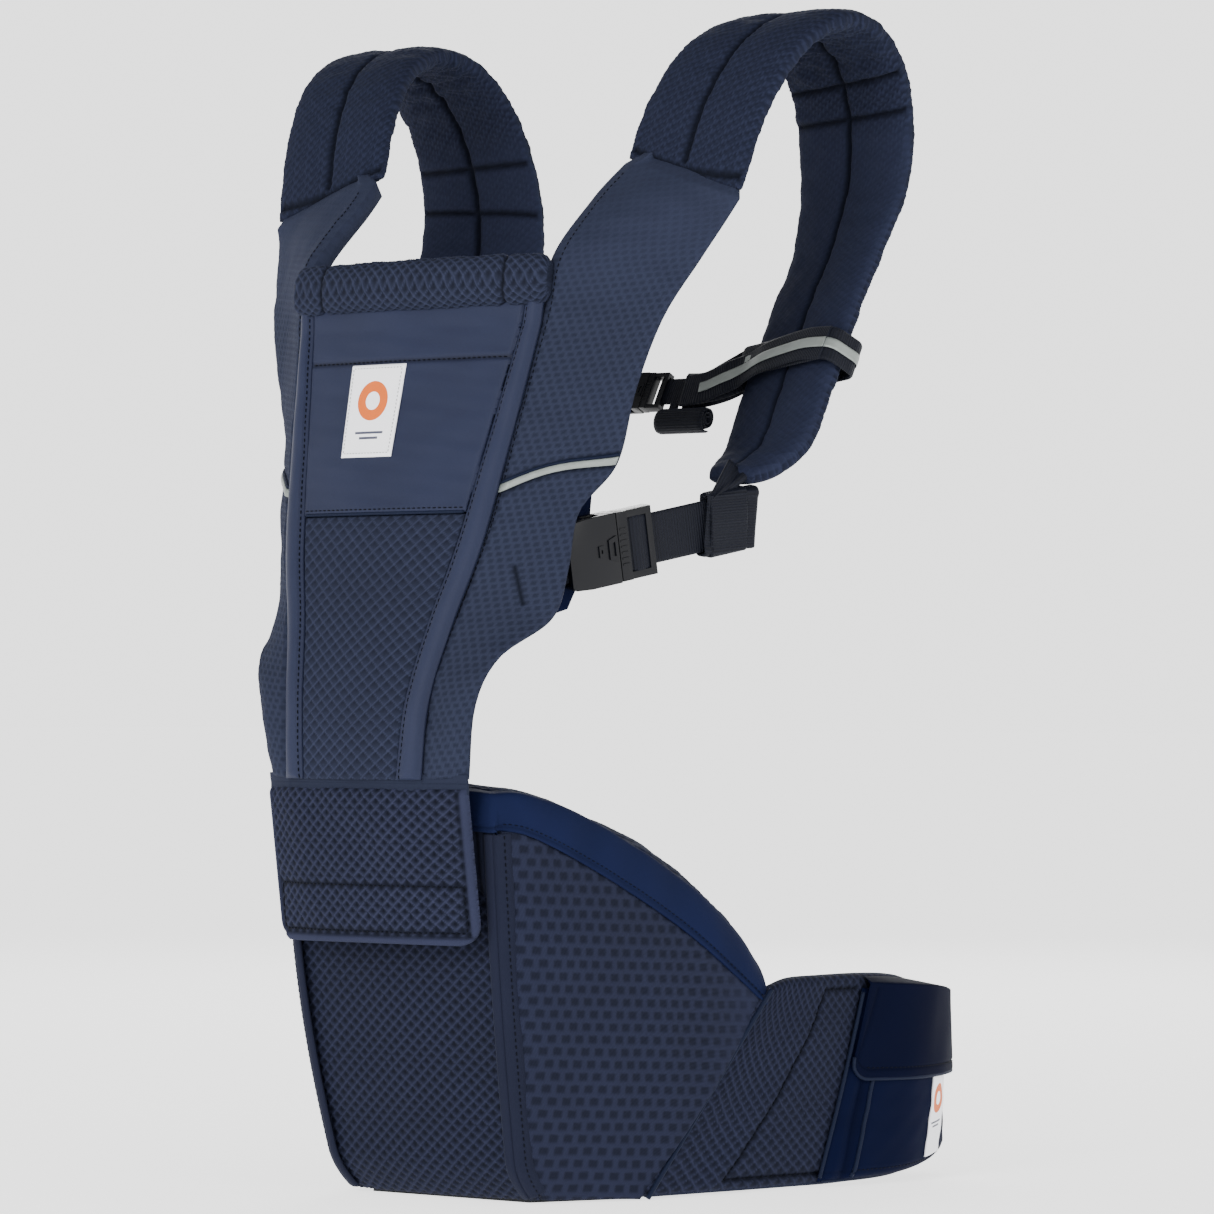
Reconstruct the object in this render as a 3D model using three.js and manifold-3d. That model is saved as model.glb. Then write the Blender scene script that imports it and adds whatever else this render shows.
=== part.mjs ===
// Soft baby carrier with a hip seat: seat block and waist belt, front panel with wings, two shoulder
// straps with side-release buckles, a chest strap and a belt pouch.
// Millimetres, +Z up. The origin is on the floor under the seat, on the plane of symmetry. The baby-side
// panel stands at the front (-Y), the wearer behind it (+Y), and the wearer's left is +X.
import * as THREE from "three";
import { mergeVertices } from "three/addons/utils/BufferGeometryUtils.js";
import Module from "manifold-3d";

const wasm = await Module();
wasm.setup();

// ---------- driving dimensions ----------
const PANEL_T = 3; // outer fabric layer of the front panel
const LINER_T = 6; // padded liner behind it
const WING_T = 9; // padded side wings
const FLAP_T = 8; // front flap
const COVER_T = 4; // seat cover fabric with its spacer
const PAD_T = 17; // shoulder pad thickness
const PAD_W = 92; // shoulder pad width
const BELT_T = 14; // waist belt padding
const BELLY_T = 12; // pad between the seat and the wearer
const TOP_PAD_T = 20; // soft top of the seat
const WEB_T = 1.8; // webbing thickness
const STRAP_WEB = 33; // shoulder webbing width
const CHEST_WEB = 20; // chest webbing width
const WAIST_WEB = 38; // waist webbing width
const SEAM_Z = 266; // height of the seam between panel and flap
const FOLD_GAP = 5.2; // the flap's top edge stays this far below the panel
const POUCH_T = 20; // pouch depth outwards from the belt
const POUCH_WALL = 3;

const NAVY = 0x2a3350;
const PLAIN_NAVY = 0x2b3a63;
const BLACK = 0x14171f;
const WHITE = 0xe9e9ee;
const SILVER = 0x9aa0a2;
const FOAM = 0xb9bcc4;

// ---------- helpers: materials, curves and closed solids ----------
const cloth = (color) => new THREE.MeshStandardMaterial({ color, roughness: 0.92, metalness: 0 });
const MATERIAL = {
  mesh: cloth(NAVY),
  plain: cloth(PLAIN_NAVY),
  webbing: cloth(BLACK),
  label: cloth(WHITE),
  reflective: new THREE.MeshStandardMaterial({ color: SILVER, roughness: 0.35, metalness: 0.2 }),
  plastic: new THREE.MeshStandardMaterial({ color: BLACK, roughness: 0.45, metalness: 0 }),
  foam: cloth(FOAM),
};

const carrier = new THREE.Group();

function add(name, geometry, material, parent = carrier) {
  const mesh = new THREE.Mesh(geometry, MATERIAL[material]);
  mesh.name = name;
  parent.add(mesh);
  return mesh;
}

const V = (p) => new THREE.Vector3(p[0], p[1], p[2]);
const curve = (points) => new THREE.CatmullRomCurve3(points.map(V), false, "catmullrom", 0.5);
const mix = (a, b, t) => a + (b - a) * t;

// A geometry from vertices and triangles, turned to face outwards.
function closed(points, triangles) {
  let volume = 0;
  for (const [a, b, c] of triangles) {
    volume += points[a].dot(new THREE.Vector3().crossVectors(points[b], points[c])) / 6;
  }
  const index = triangles.flatMap(([a, b, c]) => (volume < 0 ? [a, c, b] : [a, b, c]));
  const geometry = new THREE.BufferGeometry().setFromPoints(points);
  geometry.setIndex(index);
  geometry.computeVertexNormals();
  return geometry;
}

// The solid between two grids of points of the same size.
function between(front, back) {
  const rows = front.length;
  const cols = front[0].length;
  const points = [...front.flat(), ...back.flat()];
  const triangles = [];
  const quad = (a, b, c, d) => triangles.push([a, b, c], [a, c, d]);
  const at = (i, j) => i * cols + j;
  const under = (i, j) => rows * cols + at(i, j);
  for (let i = 0; i < rows - 1; i++) {
    for (let j = 0; j < cols - 1; j++) {
      quad(at(i, j), at(i, j + 1), at(i + 1, j + 1), at(i + 1, j));
      quad(under(i, j), under(i + 1, j), under(i + 1, j + 1), under(i, j + 1));
    }
  }
  const rim = [];
  for (let j = 0; j < cols - 1; j++) rim.push([0, j]);
  for (let i = 0; i < rows - 1; i++) rim.push([i, cols - 1]);
  for (let j = cols - 1; j > 0; j--) rim.push([rows - 1, j]);
  for (let i = rows - 1; i > 0; i--) rim.push([i, 0]);
  rim.forEach((p, k) => {
    const q = rim[(k + 1) % rim.length];
    quad(at(...p), under(...p), under(...q), at(...q));
  });
  return closed(points, triangles);
}

// Unit normals of a grid, on the side that `outward` says.
function gridNormals(grid, outward) {
  const last = grid.length - 1;
  const end = grid[0].length - 1;
  return grid.map((row, i) =>
    row.map((p, j) => {
      const du = grid[i][Math.min(j + 1, end)].clone().sub(grid[i][Math.max(j - 1, 0)]);
      const dv = grid[Math.min(i + 1, last)][j].clone().sub(grid[Math.max(i - 1, 0)][j]);
      const n = du.cross(dv).normalize();
      return n.dot(V(outward)) < 0 ? n.negate() : n;
    }),
  );
}

// A layer of cloth: from `top` to `bottom` millimetres under the grid's outer side.
// A depth is a number or a function of the grid's row and column.
function layer(grid, outward, top, bottom) {
  return sandwich(grid, gridNormals(grid, outward), top, bottom);
}

function sandwich(grid, normals, top, bottom) {
  const sunk = (depth) =>
    grid.map((row, i) =>
      row.map((p, j) => {
        const d = typeof depth === "function" ? depth(i, j) : depth;
        return p.clone().addScaledVector(normals[i][j], -d);
      }),
    );
  return between(sunk(top), sunk(bottom));
}

// A grid of points across curves that run side by side; u and v ranges trim it.
function across(curves, rows, cols, v0 = 0, v1 = 1, u0 = 0, u1 = 1) {
  return Array.from({ length: rows + 1 }, (_, i) => {
    const v = mix(v0, v1, i / rows);
    const rib = new THREE.CatmullRomCurve3(curves.map((c) => c.getPoint(v)), false, "catmullrom", 0.5);
    return Array.from({ length: cols + 1 }, (_, j) => rib.getPoint(mix(u0, u1, j / cols)));
  });
}

const mirrored = (grid) => grid.map((row) => row.map((p) => new THREE.Vector3(-p.x, p.y, p.z)));
const SIDES = [
  { side: "left", sign: 1 },
  { side: "right", sign: -1 },
];
const onSide = (grid, sign) => (sign > 0 ? grid : mirrored(grid));

// A strap: an eight-sided section carried along a path, its width along the `sides` vectors.
function strap(path, sides, widths, thicknesses, steps) {
  const line = curve(path);
  const across3 = curve(sides);
  const sizes = curve(path.map((_, i) => [widths[i] ?? widths, thicknesses[i] ?? thicknesses, 0]));
  const rings = [];
  for (let i = 0; i <= steps; i++) {
    const t = i / steps;
    const tangent = line.getTangent(t);
    const s = across3.getPoint(t);
    s.addScaledVector(tangent, -s.dot(tangent)).normalize();
    const n = new THREE.Vector3().crossVectors(tangent, s).normalize();
    const { x: w, y: h } = sizes.getPoint(t);
    const cut = Math.min(0.42 * h, 6);
    const outline = [
      [w / 2, h / 2 - cut], [w / 2 - cut, h / 2], [cut - w / 2, h / 2], [-w / 2, h / 2 - cut],
      [-w / 2, cut - h / 2], [cut - w / 2, -h / 2], [w / 2 - cut, -h / 2], [w / 2, cut - h / 2],
    ];
    rings.push(
      outline.map(([a, b]) => line.getPoint(t).addScaledVector(s, a).addScaledVector(n, b)),
    );
  }
  return loft(rings);
}

// The solid through rings of points of the same count, with flat ends.
function loft(rings) {
  const n = rings[0].length;
  const points = rings.flat();
  const triangles = [];
  for (let i = 0; i < rings.length - 1; i++) {
    for (let j = 0; j < n; j++) {
      const k = (j + 1) % n;
      const [a, b, c, d] = [i * n + j, i * n + k, (i + 1) * n + k, (i + 1) * n + j];
      triangles.push([a, b, c], [a, c, d]);
    }
  }
  const last = (rings.length - 1) * n;
  for (let j = 1; j < n - 1; j++) {
    triangles.push([0, j + 1, j], [last, last + j, last + j + 1]);
  }
  return closed(points, triangles);
}

// Box from corner to corner.
function box(x0, x1, y0, y1, z0, z1) {
  return new THREE.BoxGeometry(x1 - x0, y1 - y0, z1 - z0).translate(
    (x0 + x1) / 2,
    (y0 + y1) / 2,
    (z0 + z1) / 2,
  );
}

// A plate of constant thickness: outline in x and y, from z0 to z1.
function plate(outline, z0, z1) {
  const shape = new THREE.Shape(outline.map(([x, y]) => new THREE.Vector2(x, y)));
  return new THREE.ExtrudeGeometry(shape, { depth: z1 - z0, bevelEnabled: false }).translate(0, 0, z0);
}

// manifold-3d only joins and cuts.
function solid(geometry) {
  const bare = geometry.index ? geometry.toNonIndexed() : geometry.clone();
  bare.deleteAttribute("normal");
  bare.deleteAttribute("uv");
  const merged = mergeVertices(bare, 1e-4);
  return new wasm.Manifold(
    new wasm.Mesh({
      numProp: 3,
      vertProperties: merged.attributes.position.array,
      triVerts: new Uint32Array(merged.index.array),
    }),
  );
}

function geometryOf(manifold) {
  const mesh = manifold.getMesh();
  const geometry = new THREE.BufferGeometry();
  geometry.setAttribute("position", new THREE.BufferAttribute(new Float32Array(mesh.vertProperties), 3));
  geometry.setIndex(new THREE.BufferAttribute(new Uint32Array(mesh.triVerts), 1));
  geometry.computeVertexNormals();
  return geometry;
}

const cut = (body, ...tools) => geometryOf(tools.reduce((m, t) => m.subtract(solid(t)), solid(body)));
const join = (...bodies) => geometryOf(bodies.map(solid).reduce((m, b) => m.add(b)));

// A group whose own x, y, z axes are the given directions.
function frameAt(origin, x, y) {
  const ax = V(x).normalize();
  const az = new THREE.Vector3().crossVectors(ax, V(y)).normalize();
  const ay = new THREE.Vector3().crossVectors(az, ax);
  const group = new THREE.Group();
  group.applyMatrix4(new THREE.Matrix4().makeBasis(ax, ay, az).setPosition(V(origin)));
  carrier.add(group);
  return group;
}
const placed = (geometry, group) => geometry.clone().applyMatrix4(group.matrix);

// ---------- the front panel's surface ----------
// Left edge of the flat front, where it meets the wing, from the seam up to the head roll.
const FRONT_EDGE = curve([
  [57, -204, 266], [60.5, -200.5, 314], [70, -189, 363], [83, -177, 411],
  [90.5, -165, 460], [97, -153, 508], [103, -141, 557],
]);
const FRONT_CROWN = 7; // how far the middle stands in front of that edge
const BAND_INNER = [0.69, 0.87]; // the side band's inner edge, as a share of the half width

function frontPoint(u, v) {
  const edge = FRONT_EDGE.getPoint(v);
  return new THREE.Vector3(u * edge.x, edge.y - FRONT_CROWN * (1 - u * u), edge.z);
}
function frontGrid(v0, v1, uLow, uHigh, rows, cols) {
  return Array.from({ length: rows + 1 }, (_, i) => {
    const v = mix(v0, v1, i / rows);
    const [a, b] = [uLow(v), uHigh(v)];
    return Array.from({ length: cols + 1 }, (_, j) => frontPoint(mix(a, b, j / cols), v));
  });
}
const FORWARD = [0, -1, 0];
const POCKET_V = 0.57; // the pocket's lower edge
const bandInner = (v) => mix(BAND_INNER[0], BAND_INNER[1], v);
const inset = (share) => (v) => bandInner(v) - share;

function buildFront() {
  const seamShare = 0.004;
  const centre = (v0, v1, rows) =>
    frontGrid(v0, v1, (v) => -inset(seamShare)(v), inset(seamShare), rows, 8);
  add("front_mesh_panel", layer(centre(0, POCKET_V - 0.002, 6), FORWARD, 0, PANEL_T), "mesh");
  add("pocket_panel", layer(centre(POCKET_V + 0.002, 1, 5), FORWARD, 0, PANEL_T), "plain");
  for (const { side, sign } of SIDES) {
    const grid = frontGrid(0, 1, bandInner, () => 0.994, 10, 2);
    add(`side_band_${side}`, layer(onSide(grid, sign), FORWARD, 0, PANEL_T), "plain");
  }
  const whole = frontGrid(0, 1, () => -0.87, () => 0.87, 8, 8);
  add("panel_liner", layer(whole, FORWARD, PANEL_T + 4.5, PANEL_T + 4.5 + LINER_T), "plain");
  const hood = frontGrid(0.62, 0.95, () => -0.7, () => 0.7, 3, 6);
  add("folded_sun_hood", layer(hood, FORWARD, PANEL_T + 0.5, PANEL_T + 4), "plain");
  const label = frontGrid(0.7, 0.89, () => -0.42, () => 0.02, 2, 3);
  add("pocket_label", layer(label, FORWARD, -1.1, -0.4), "label");
}

// The padded roll that supports the head, between the straps' roots.
function buildHeadRoll() {
  const half = 102.5;
  const path = [-1, -0.5, 0, 0.5, 1].map((u) => [u * half, -139 - 8 * (1 - u * u), 577]);
  const side = path.map(() => [0, 0.12, 1]);
  add("head_roll", strap(path, side, 33, 15, 10), "mesh");
}

// ---------- wings: inner edge, crest and outer edge of the left one ----------
const WING_INNER = curve([
  [57, -204, 266], [60.5, -200.5, 314], [66, -194, 345], [74, -184.5, 380], [83, -177, 411],
  [88, -170, 437], [93, -161, 478], [98, -150.5, 518], [103, -141, 557], [106.5, -134, 592],
  [107, -98, 628], [106, -62, 657],
]);
const WING_CREST = curve([
  [72, -199, 266], [79, -199, 313], [87, -187, 344], [97, -168, 378], [104, -158, 408],
  [110, -152, 437], [119, -139, 472], [127, -128, 514], [138, -115, 558], [144, -106, 592],
  [149, -87, 624], [152, -65, 646],
]);
const WING_OUTER = curve([
  [83, -188, 266], [91, -192, 312], [102, -182, 343], [115, -146, 366], [121, -138, 396],
  [125, -132, 432], [139, -112, 462], [151, -109, 508], [166, -101, 553], [181, -82, 590],
  [191, -70, 614], [199, -63, 632],
]);
const OUT_LEFT = [0.75, -0.66, 0];

function wingGrid(rows, cols, v0, v1, u0, u1) {
  return across([WING_INNER, WING_CREST, WING_OUTER], rows, cols, v0, v1, u0, u1);
}

// ---------- shoulder strap, left one ----------
const PAD_PATH = [
  [151, -59.2, 649.6], [157, -44, 690], [165, -17, 726], [171, 22, 744], [170, 61, 736],
  [166, 90, 703], [160, 101, 652], [154, 91, 603], [152, 73, 570], [152, 56, 539],
  [152, 39, 508], [152, 22, 477], [150.5, 5, 463], [148.5, -12, 456],
];
const STRAIGHT_SIDE = [0.95, -0.3, 0]; // the pad's width direction along its straight rear run
const PAD_SIDES = [
  [1, -0.02, -0.28], [1, 0, -0.12], [1, 0, -0.05], [1, 0, 0], [1, 0, 0], [1, -0.03, 0], [1, -0.12, 0],
  [0.96, -0.28, 0], STRAIGHT_SIDE, STRAIGHT_SIDE, STRAIGHT_SIDE, STRAIGHT_SIDE, [0.9, -0.42, -0.1],
  [0.86, -0.5, -0.15],
];
const PAD_WIDTHS = [94, 94, 94, 94, 94, 94, 94, 92, PAD_W, PAD_W, PAD_W, 86, 68, 40];
const PAD_THICKNESS = [11, 15, ...Array(9).fill(PAD_T), 17, 16, 12];

// Straight line that the shoulder buckle and its webbing lie on.
const BUCKLE_AT = [109, -128, 403.5];
const BUCKLE_ALONG = [0.344, 0.915, 0.207];
const BUCKLE_ACROSS = [0.05, -0.24, 0.97];
const KEEPER_FROM = 100; // along that line
const KEEPER_LENGTH = 39;

const flip = (p, sign) => [p[0] * sign, p[1], p[2]];

function buildSide({ side, sign }) {
  const outward = flip(OUT_LEFT, sign);
  const tab = frameAt(flip(BUCKLE_AT, sign), flip(BUCKLE_ALONG, sign), flip(BUCKLE_ACROSS, sign));
  const tabWidth = STRAP_WEB / 2;

  // The wing thins towards its outer edge.
  const wing = onSide(wingGrid(22, 4, 0, 1, 0.03, 1), sign);
  add(`wing_${side}`, layer(wing, outward, 0, (row, j) => WING_T * (1 - 0.03 * j * j)), "mesh");
  add(`buckle_tab_${side}`, box(-12, 5.4, -tabWidth, tabWidth, -WEB_T / 2, WEB_T / 2), "webbing", tab);

  // A plain lining flap shows behind the buckle, past the wing's edge.
  const lining = across(
    [
      curve([[98, -144, 364], [100.5, -140, 402], [102.5, -136, 446]]),
      curve([[102, -116, 372], [103, -100, 402], [106, -97, 446]]),
    ],
    4, 2,
  );
  add(`wing_lining_${side}`, layer(onSide(lining, sign), flip([0.95, -0.3, 0], sign), 0, 2.5), "plain");

  // The reflective piping crosses the wing from the band to its outer edge.
  const stripe = [0, 0.25, 0.5, 0.75, 1].map((t) => {
    const rib = wingGrid(1, 4, mix(0.475, 0.55, t), mix(0.475, 0.55, t) + 0.012, 0.03, 0.97);
    return [rib[0][Math.round(t * 4)], rib[1][Math.round(t * 4)]];
  });
  add(`reflective_piping_${side}`, layer(onSide(stripe, sign), outward, -2.6, -0.5), "reflective");

  const path = PAD_PATH.map((p) => flip(p, sign));
  const sides = PAD_SIDES.map((p) => flip(p, sign));
  add(`strap_pad_${side}`, strap(path, sides, PAD_WIDTHS, PAD_THICKNESS, 48), "mesh");

  // Keeper: the folded spare webbing that the strap's webbing runs through, and the web that ties it
  // to the pad.
  const half = tabWidth + 2.6;
  const end = KEEPER_FROM + KEEPER_LENGTH;
  const keeper = cut(
    box(KEEPER_FROM, end, -half, half, -6, 6),
    box(KEEPER_FROM - 1, end + 1, -tabWidth - 0.6, tabWidth + 0.6, -1.8, 1.8),
  );
  const tie = box(KEEPER_FROM + 8, KEEPER_FROM + 25, half - 0.5, half + 8, -1.5, 1.5);
  add(`webbing_keeper_${side}`, join(keeper, tie), "webbing", tab);

  sideRelease(tab, `strap_${side}`, STRAP_WEB);
  const start = buckleLength(STRAP_WEB) - 8;
  add(
    `strap_webbing_${side}`,
    box(start, KEEPER_FROM + 6, -tabWidth, tabWidth, -WEB_T / 2, WEB_T / 2),
    "webbing",
    tab,
  );
}

// ---------- side-release buckle ----------
// In its own frame: x runs from the female half's closed end to the male half's webbing, y across the
// webbing. Everything scales with the webbing width.
const buckleScale = (web) => web / 28.5;
const buckleLength = (web) => 54 * buckleScale(web);

function sideRelease(group, name, web) {
  const k = buckleScale(web);
  const b = (...n) => box(...n.map((x) => x * k));
  const p = (outline, z0, z1) => plate(outline.map(([x, y]) => [x * k, y * k]), z0 * k, z1 * k);
  const slot = web / 2 / k + 0.7; // half a webbing slot, in unscaled units
  const half = 19.4;
  const shell = p(
    [[0, -16.5], [2, -18.4], [12, -half], [31, -half], [31, half], [12, half], [2, 18.4], [0, 16.5]],
    -5.5, 5.5,
  );
  const throat = p(
    [[8, -14], [12, -18], [22, -17.9], [32, -17.1], [32, 17.1], [22, 17.9], [12, 18], [8, 14]],
    -3.1, 3.1,
  );
  const sideWindows = b(13, 21.4, -25, 25, -3.1, 3.1);
  const webSlot = b(-1, 6, -slot, slot, -1.6, 1.6);
  add(`${name}_buckle_female`, cut(shell, throat, sideWindows, webSlot), "plastic", group);
  const base = b(31.6, 38, -19, 19, -5, 5);
  const blade = b(12, 32, -3.6, 3.6, -2, 2);
  const window = b(37.4, 50.4, -slot, slot, -9, 9);
  const frame = cut(b(37, 54, -19, 19, -4, 4), window, b(50, 55, -slot, slot, -1.7, 1.7));
  const middle = b(43, 46, -17, 17, -3.6, -1.4);
  add(`${name}_buckle_male`, join(base, blade, frame, middle), "plastic", group);
  for (const [which, s] of [["upper", 1], ["lower", -1]]) {
    const arm = p(
      [
        [31, 7.5 * s], [31, 12 * s], [22, 13.2 * s], [20.6, 16.5 * s], [14.5, 15.9 * s],
        [12.6, 12.6 * s], [12.6, 9.4 * s], [22, 8.4 * s],
      ],
      -2.5, 2.5,
    );
    add(`${name}_buckle_prong_${which}`, arm, "plastic", group);
  }
}

// ---------- chest strap ----------
// Two loops slide on the pads' straight lower run, joined by webbing and a buckle.
const CHEST_AT = [152, 51.6, 531];
const PAD_RUN = [0, 17, 31]; // the pads' straight run, upwards
const CHEST_BAND = 12; // half the band's width
const CHEST_BUCKLE = [12, 43, 515.3]; // closed end of the chest buckle
const SLEEVE = [66, 92]; // from the middle to the left loop, where the webbing runs in

function buildChest() {
  const up = PAD_RUN;
  const inner = [PAD_W / 2 + 3.4, PAD_T / 2 + 3.8];
  const [w, h] = inner.map((c) => c + 1.8);
  const centre = frameAt(CHEST_BUCKLE, [1, 0, 0], up);
  const [x, y, z] = CHEST_BUCKLE;
  for (const { side, sign } of SIDES) {
    const group = frameAt(flip(CHEST_AT, sign), flip(STRAIGHT_SIDE, sign).map((c) => c * sign), up);
    const ring = cut(
      box(-w, w, -CHEST_BAND, CHEST_BAND, -h, h),
      box(-inner[0], inner[0], -CHEST_BAND - 1, CHEST_BAND + 1, -inner[1], inner[1]),
    );
    // The band leaves the loop's inner edge and sags towards the middle.
    const reach = w - 0.2;
    const root = [
      CHEST_AT[0] - reach * STRAIGHT_SIDE[0], CHEST_AT[1] - reach * STRAIGHT_SIDE[1], CHEST_AT[2],
    ];
    if (side === "left") {
      const band = strap(
        [root, [100, y + 14, z + 10], [SLEEVE[1] - 2, y + 3, z + 2.4], [SLEEVE[1] - 8, y, z]],
        [up, up, up, up], 2 * CHEST_BAND, 3, 8,
      );
      // The band's end is a sleeve, open to the middle, and slit below for the hanging spare end.
      const [open, closedEnd] = SLEEVE.map((c) => c - x);
      const room = CHEST_WEB / 2 + 0.7;
      const sleeve = box(open, closedEnd, -CHEST_BAND, CHEST_BAND, -3.4, 3.4);
      const inside = box(open - 1, closedEnd - 3, -room, room, -1.5, 1.5);
      const slit = box(open - 1, open + 19, -CHEST_BAND - 1, 0, -1.5, 1.5);
      const end = cut(join(band, placed(sleeve, centre)), placed(inside, centre), placed(slit, centre));
      add("chest_loop_left", join(placed(ring, group), end), "webbing");
    } else {
      const tail = strap(
        [
          flip(root, -1), [-78, y + 5, z + 9], [-40, y + 1.5, z + 3], [0, y, z],
          [x + 4, y, z],
        ],
        [up, up, up, up, up], CHEST_WEB, WEB_T, 14,
      );
      add("chest_loop_right", join(placed(ring, group), tail), "webbing");
    }
  }
  sideRelease(centre, "chest", CHEST_WEB);
  const half = CHEST_WEB / 2;
  const start = buckleLength(CHEST_WEB) - 6;
  // The spare end is rolled up and hangs from the webbing, under the sleeve.
  const end = SLEEVE[0] - x;
  const flat = WEB_T / 2;
  const run = box(start, end + 3, -half, half, -flat, flat);
  const drop = box(end - 9, end - 1, -half - 14, -half + 1, -flat, flat);
  const roll = box(end - 9, end + 24, -half - 20, -half - 6, -5, 5);
  add("chest_webbing", join(run, drop, roll), "webbing", centre);
}

// ---------- seat ----------
// Rim of the seat's soft top on the left, from the front corner to the belt, and the middle line.
const RIM = curve([
  [88, -172, 257], [98, -156, 257.5], [105, -122, 249.5], [112, -78, 231], [120, -28, 204.5],
  [125, 19, 171], [124, 46, 147],
]);
const MIDDLE = curve([
  [0, -177, 262], [0, -160, 263], [0, -122, 259], [0, -78, 252], [0, -28, 241],
  [0, 12, 226], [0, 28, 218],
]);
const TOP_ROUNDNESS = 1.7; // how late the top falls away towards its rim
const CORE_FROM = 0.15; // the foam core begins this far back from the front wall

function topGrid(drop, shrink, rows = 10, cols = 12) {
  return Array.from({ length: rows + 1 }, (_, i) => {
    const v = mix(shrink * CORE_FROM, 1 - shrink * 0.07, i / rows);
    const [rim, mid] = [RIM.getPoint(v), MIDDLE.getPoint(v)];
    return Array.from({ length: cols + 1 }, (_, j) => {
      const u = (2 * j) / cols - 1;
      const bow = Math.pow(Math.abs(u), TOP_ROUNDNESS);
      const x = u * (rim.x - 10 * shrink);
      return new THREE.Vector3(x, mix(mid.y, rim.y, bow), mix(mid.z, rim.z, bow) - drop);
    });
  });
}

// Lower edge of the soft top, and the wall's foot, on the left.
const WALL_TOP = curve([
  [88, -168, 236], [98, -153, 233], [106, -122, 220], [115, -80, 199], [123, -33, 173],
  [130, 5, 147], [136, 38, 122],
]);
const WALL_FOOT = curve([
  [76, -130, 1], [82, -122, 1], [89, -108, 1], [96, -93, 1], [103, -79, 1], [108, -67, 1], [112, -57, 1],
]);
const WALL_BULGE = 8;
// The front wall turns under at its foot.
const tuck = (v) => 15 * Math.pow(Math.max(0, 1 - v / 0.12), 2);

function sideWallGrid(rows, cols) {
  return Array.from({ length: rows + 1 }, (_, i) => {
    const v = i / rows;
    return Array.from({ length: cols + 1 }, (_, j) => {
      const u = mix(mix(0.085, 0.035, v), 0.994, j / cols);
      const p = WALL_FOOT.getPoint(u).lerp(WALL_TOP.getPoint(u), v);
      p.x += WALL_BULGE * Math.sin(Math.PI * v) * (1 - 0.3 * u);
      p.y += tuck(v) * (1 - u) - 3 * Math.sin(Math.PI * v) * (1 - u);
      return p;
    });
  });
}

function frontWallPoint(u, v) {
  const corner = WALL_FOOT.getPoint(0).lerp(WALL_TOP.getPoint(0), v);
  const bulge = 5 * Math.sin(Math.PI * v);
  const y = corner.y - bulge - 5 * (1 - u * u) + tuck(v);
  return new THREE.Vector3(u * (corner.x + 0.4 * bulge - 0.8), y, corner.z);
}

function frontWallGrid(rows, cols, v0 = 0, v1 = 1, half = 1) {
  return Array.from({ length: rows + 1 }, (_, i) =>
    Array.from({ length: cols + 1 }, (_, j) => {
      const u = half * ((2 * j) / cols - 1);
      return frontWallPoint(u, mix(v0, v1, i / rows));
    }),
  );
}

function buildSeat() {
  add("seat_top_pad", between(topGrid(0, 0), topGrid(TOP_PAD_T, 0)), "plain");
  add("seat_front_cover", layer(frontWallGrid(12, 8), FORWARD, 0, COVER_T), "mesh");
  for (const { side, sign } of SIDES) {
    const grid = onSide(sideWallGrid(8, 8), sign);
    add(`seat_side_cover_${side}`, layer(grid, flip([0.95, -0.3, 0], sign), 0, COVER_T), "mesh");
  }
  const base = [
    [-66, -112], [66, -112], [94, -54], [94, 14], [64, 20], [0, 14], [-64, 20], [-94, 14], [-94, -54],
  ];
  add("seat_base_board", plate(base, 0, 4), "plastic");
  // The moulded foam block that carries the baby, inside the covers.
  const roof = topGrid(TOP_PAD_T + 1, 1, 6, 8);
  const floor = roof.map((row, i) =>
    row.map((p, j) => {
      const v = i / (roof.length - 1);
      const u = (2 * j) / (row.length - 1) - 1;
      return new THREE.Vector3(u * mix(62, 90, Math.min(1, v * 1.3)), mix(-106, 10, v), 4.6);
    }),
  );
  add("seat_foam_core", between(roof, floor), "foam");

  // Padded wall against the wearer's belly, from belt to belt.
  const belly = Array.from({ length: 7 }, (_, i) => {
    const v = i / 6;
    return Array.from({ length: 13 }, (_, j) => {
      const u = (2 * j) / 12 - 1;
      const arch = 194 - 72 * Math.pow(Math.abs(u), TOP_ROUNDNESS);
      const y = 40 + 22 * u * u - 4 * Math.sin(Math.PI * v);
      return new THREE.Vector3(u * mix(106, 114, v), y, mix(1, arch, v));
    });
  });
  add("belly_pad", layer(belly, [0, 1, 0], 0, BELLY_T), "mesh");
}

// ---------- front flap, the strips that hold it, and the skirt behind it ----------
function flapGrid(z0, z1, half, rows, cols) {
  return Array.from({ length: rows + 1 }, (_, i) => {
    const z = mix(z0, z1, i / rows);
    const t = (z - 163) / 103;
    return Array.from({ length: cols + 1 }, (_, j) => {
      const u = (2 * j) / cols - 1;
      const y = mix(-193, -210, t) + mix(15, 18, t) * Math.pow(Math.abs(u) * (half / 84), 2.6);
      return new THREE.Vector3(u * half, y, z);
    });
  });
}

function buildFlap() {
  add("front_flap", layer(flapGrid(163, SEAM_Z - FOLD_GAP, 84, 5, 12), FORWARD, 0, FLAP_T), "mesh");
  const hooks = flapGrid(172, 196, 60, 1, 8);
  add("flap_hook_strip", layer(hooks, FORWARD, FLAP_T + 0.4, FLAP_T + 2.2), "webbing");
  add("seat_loop_strip", layer(frontWallGrid(2, 8, 0.72, 0.84, 0.8), FORWARD, -2.2, -0.5), "webbing");
  const skirt = frontWallGrid(4, 8, 0.86, 1.0, 0.98);
  add("panel_skirt", layer(skirt, FORWARD, -2.6, -0.6), "mesh");
}

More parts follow.
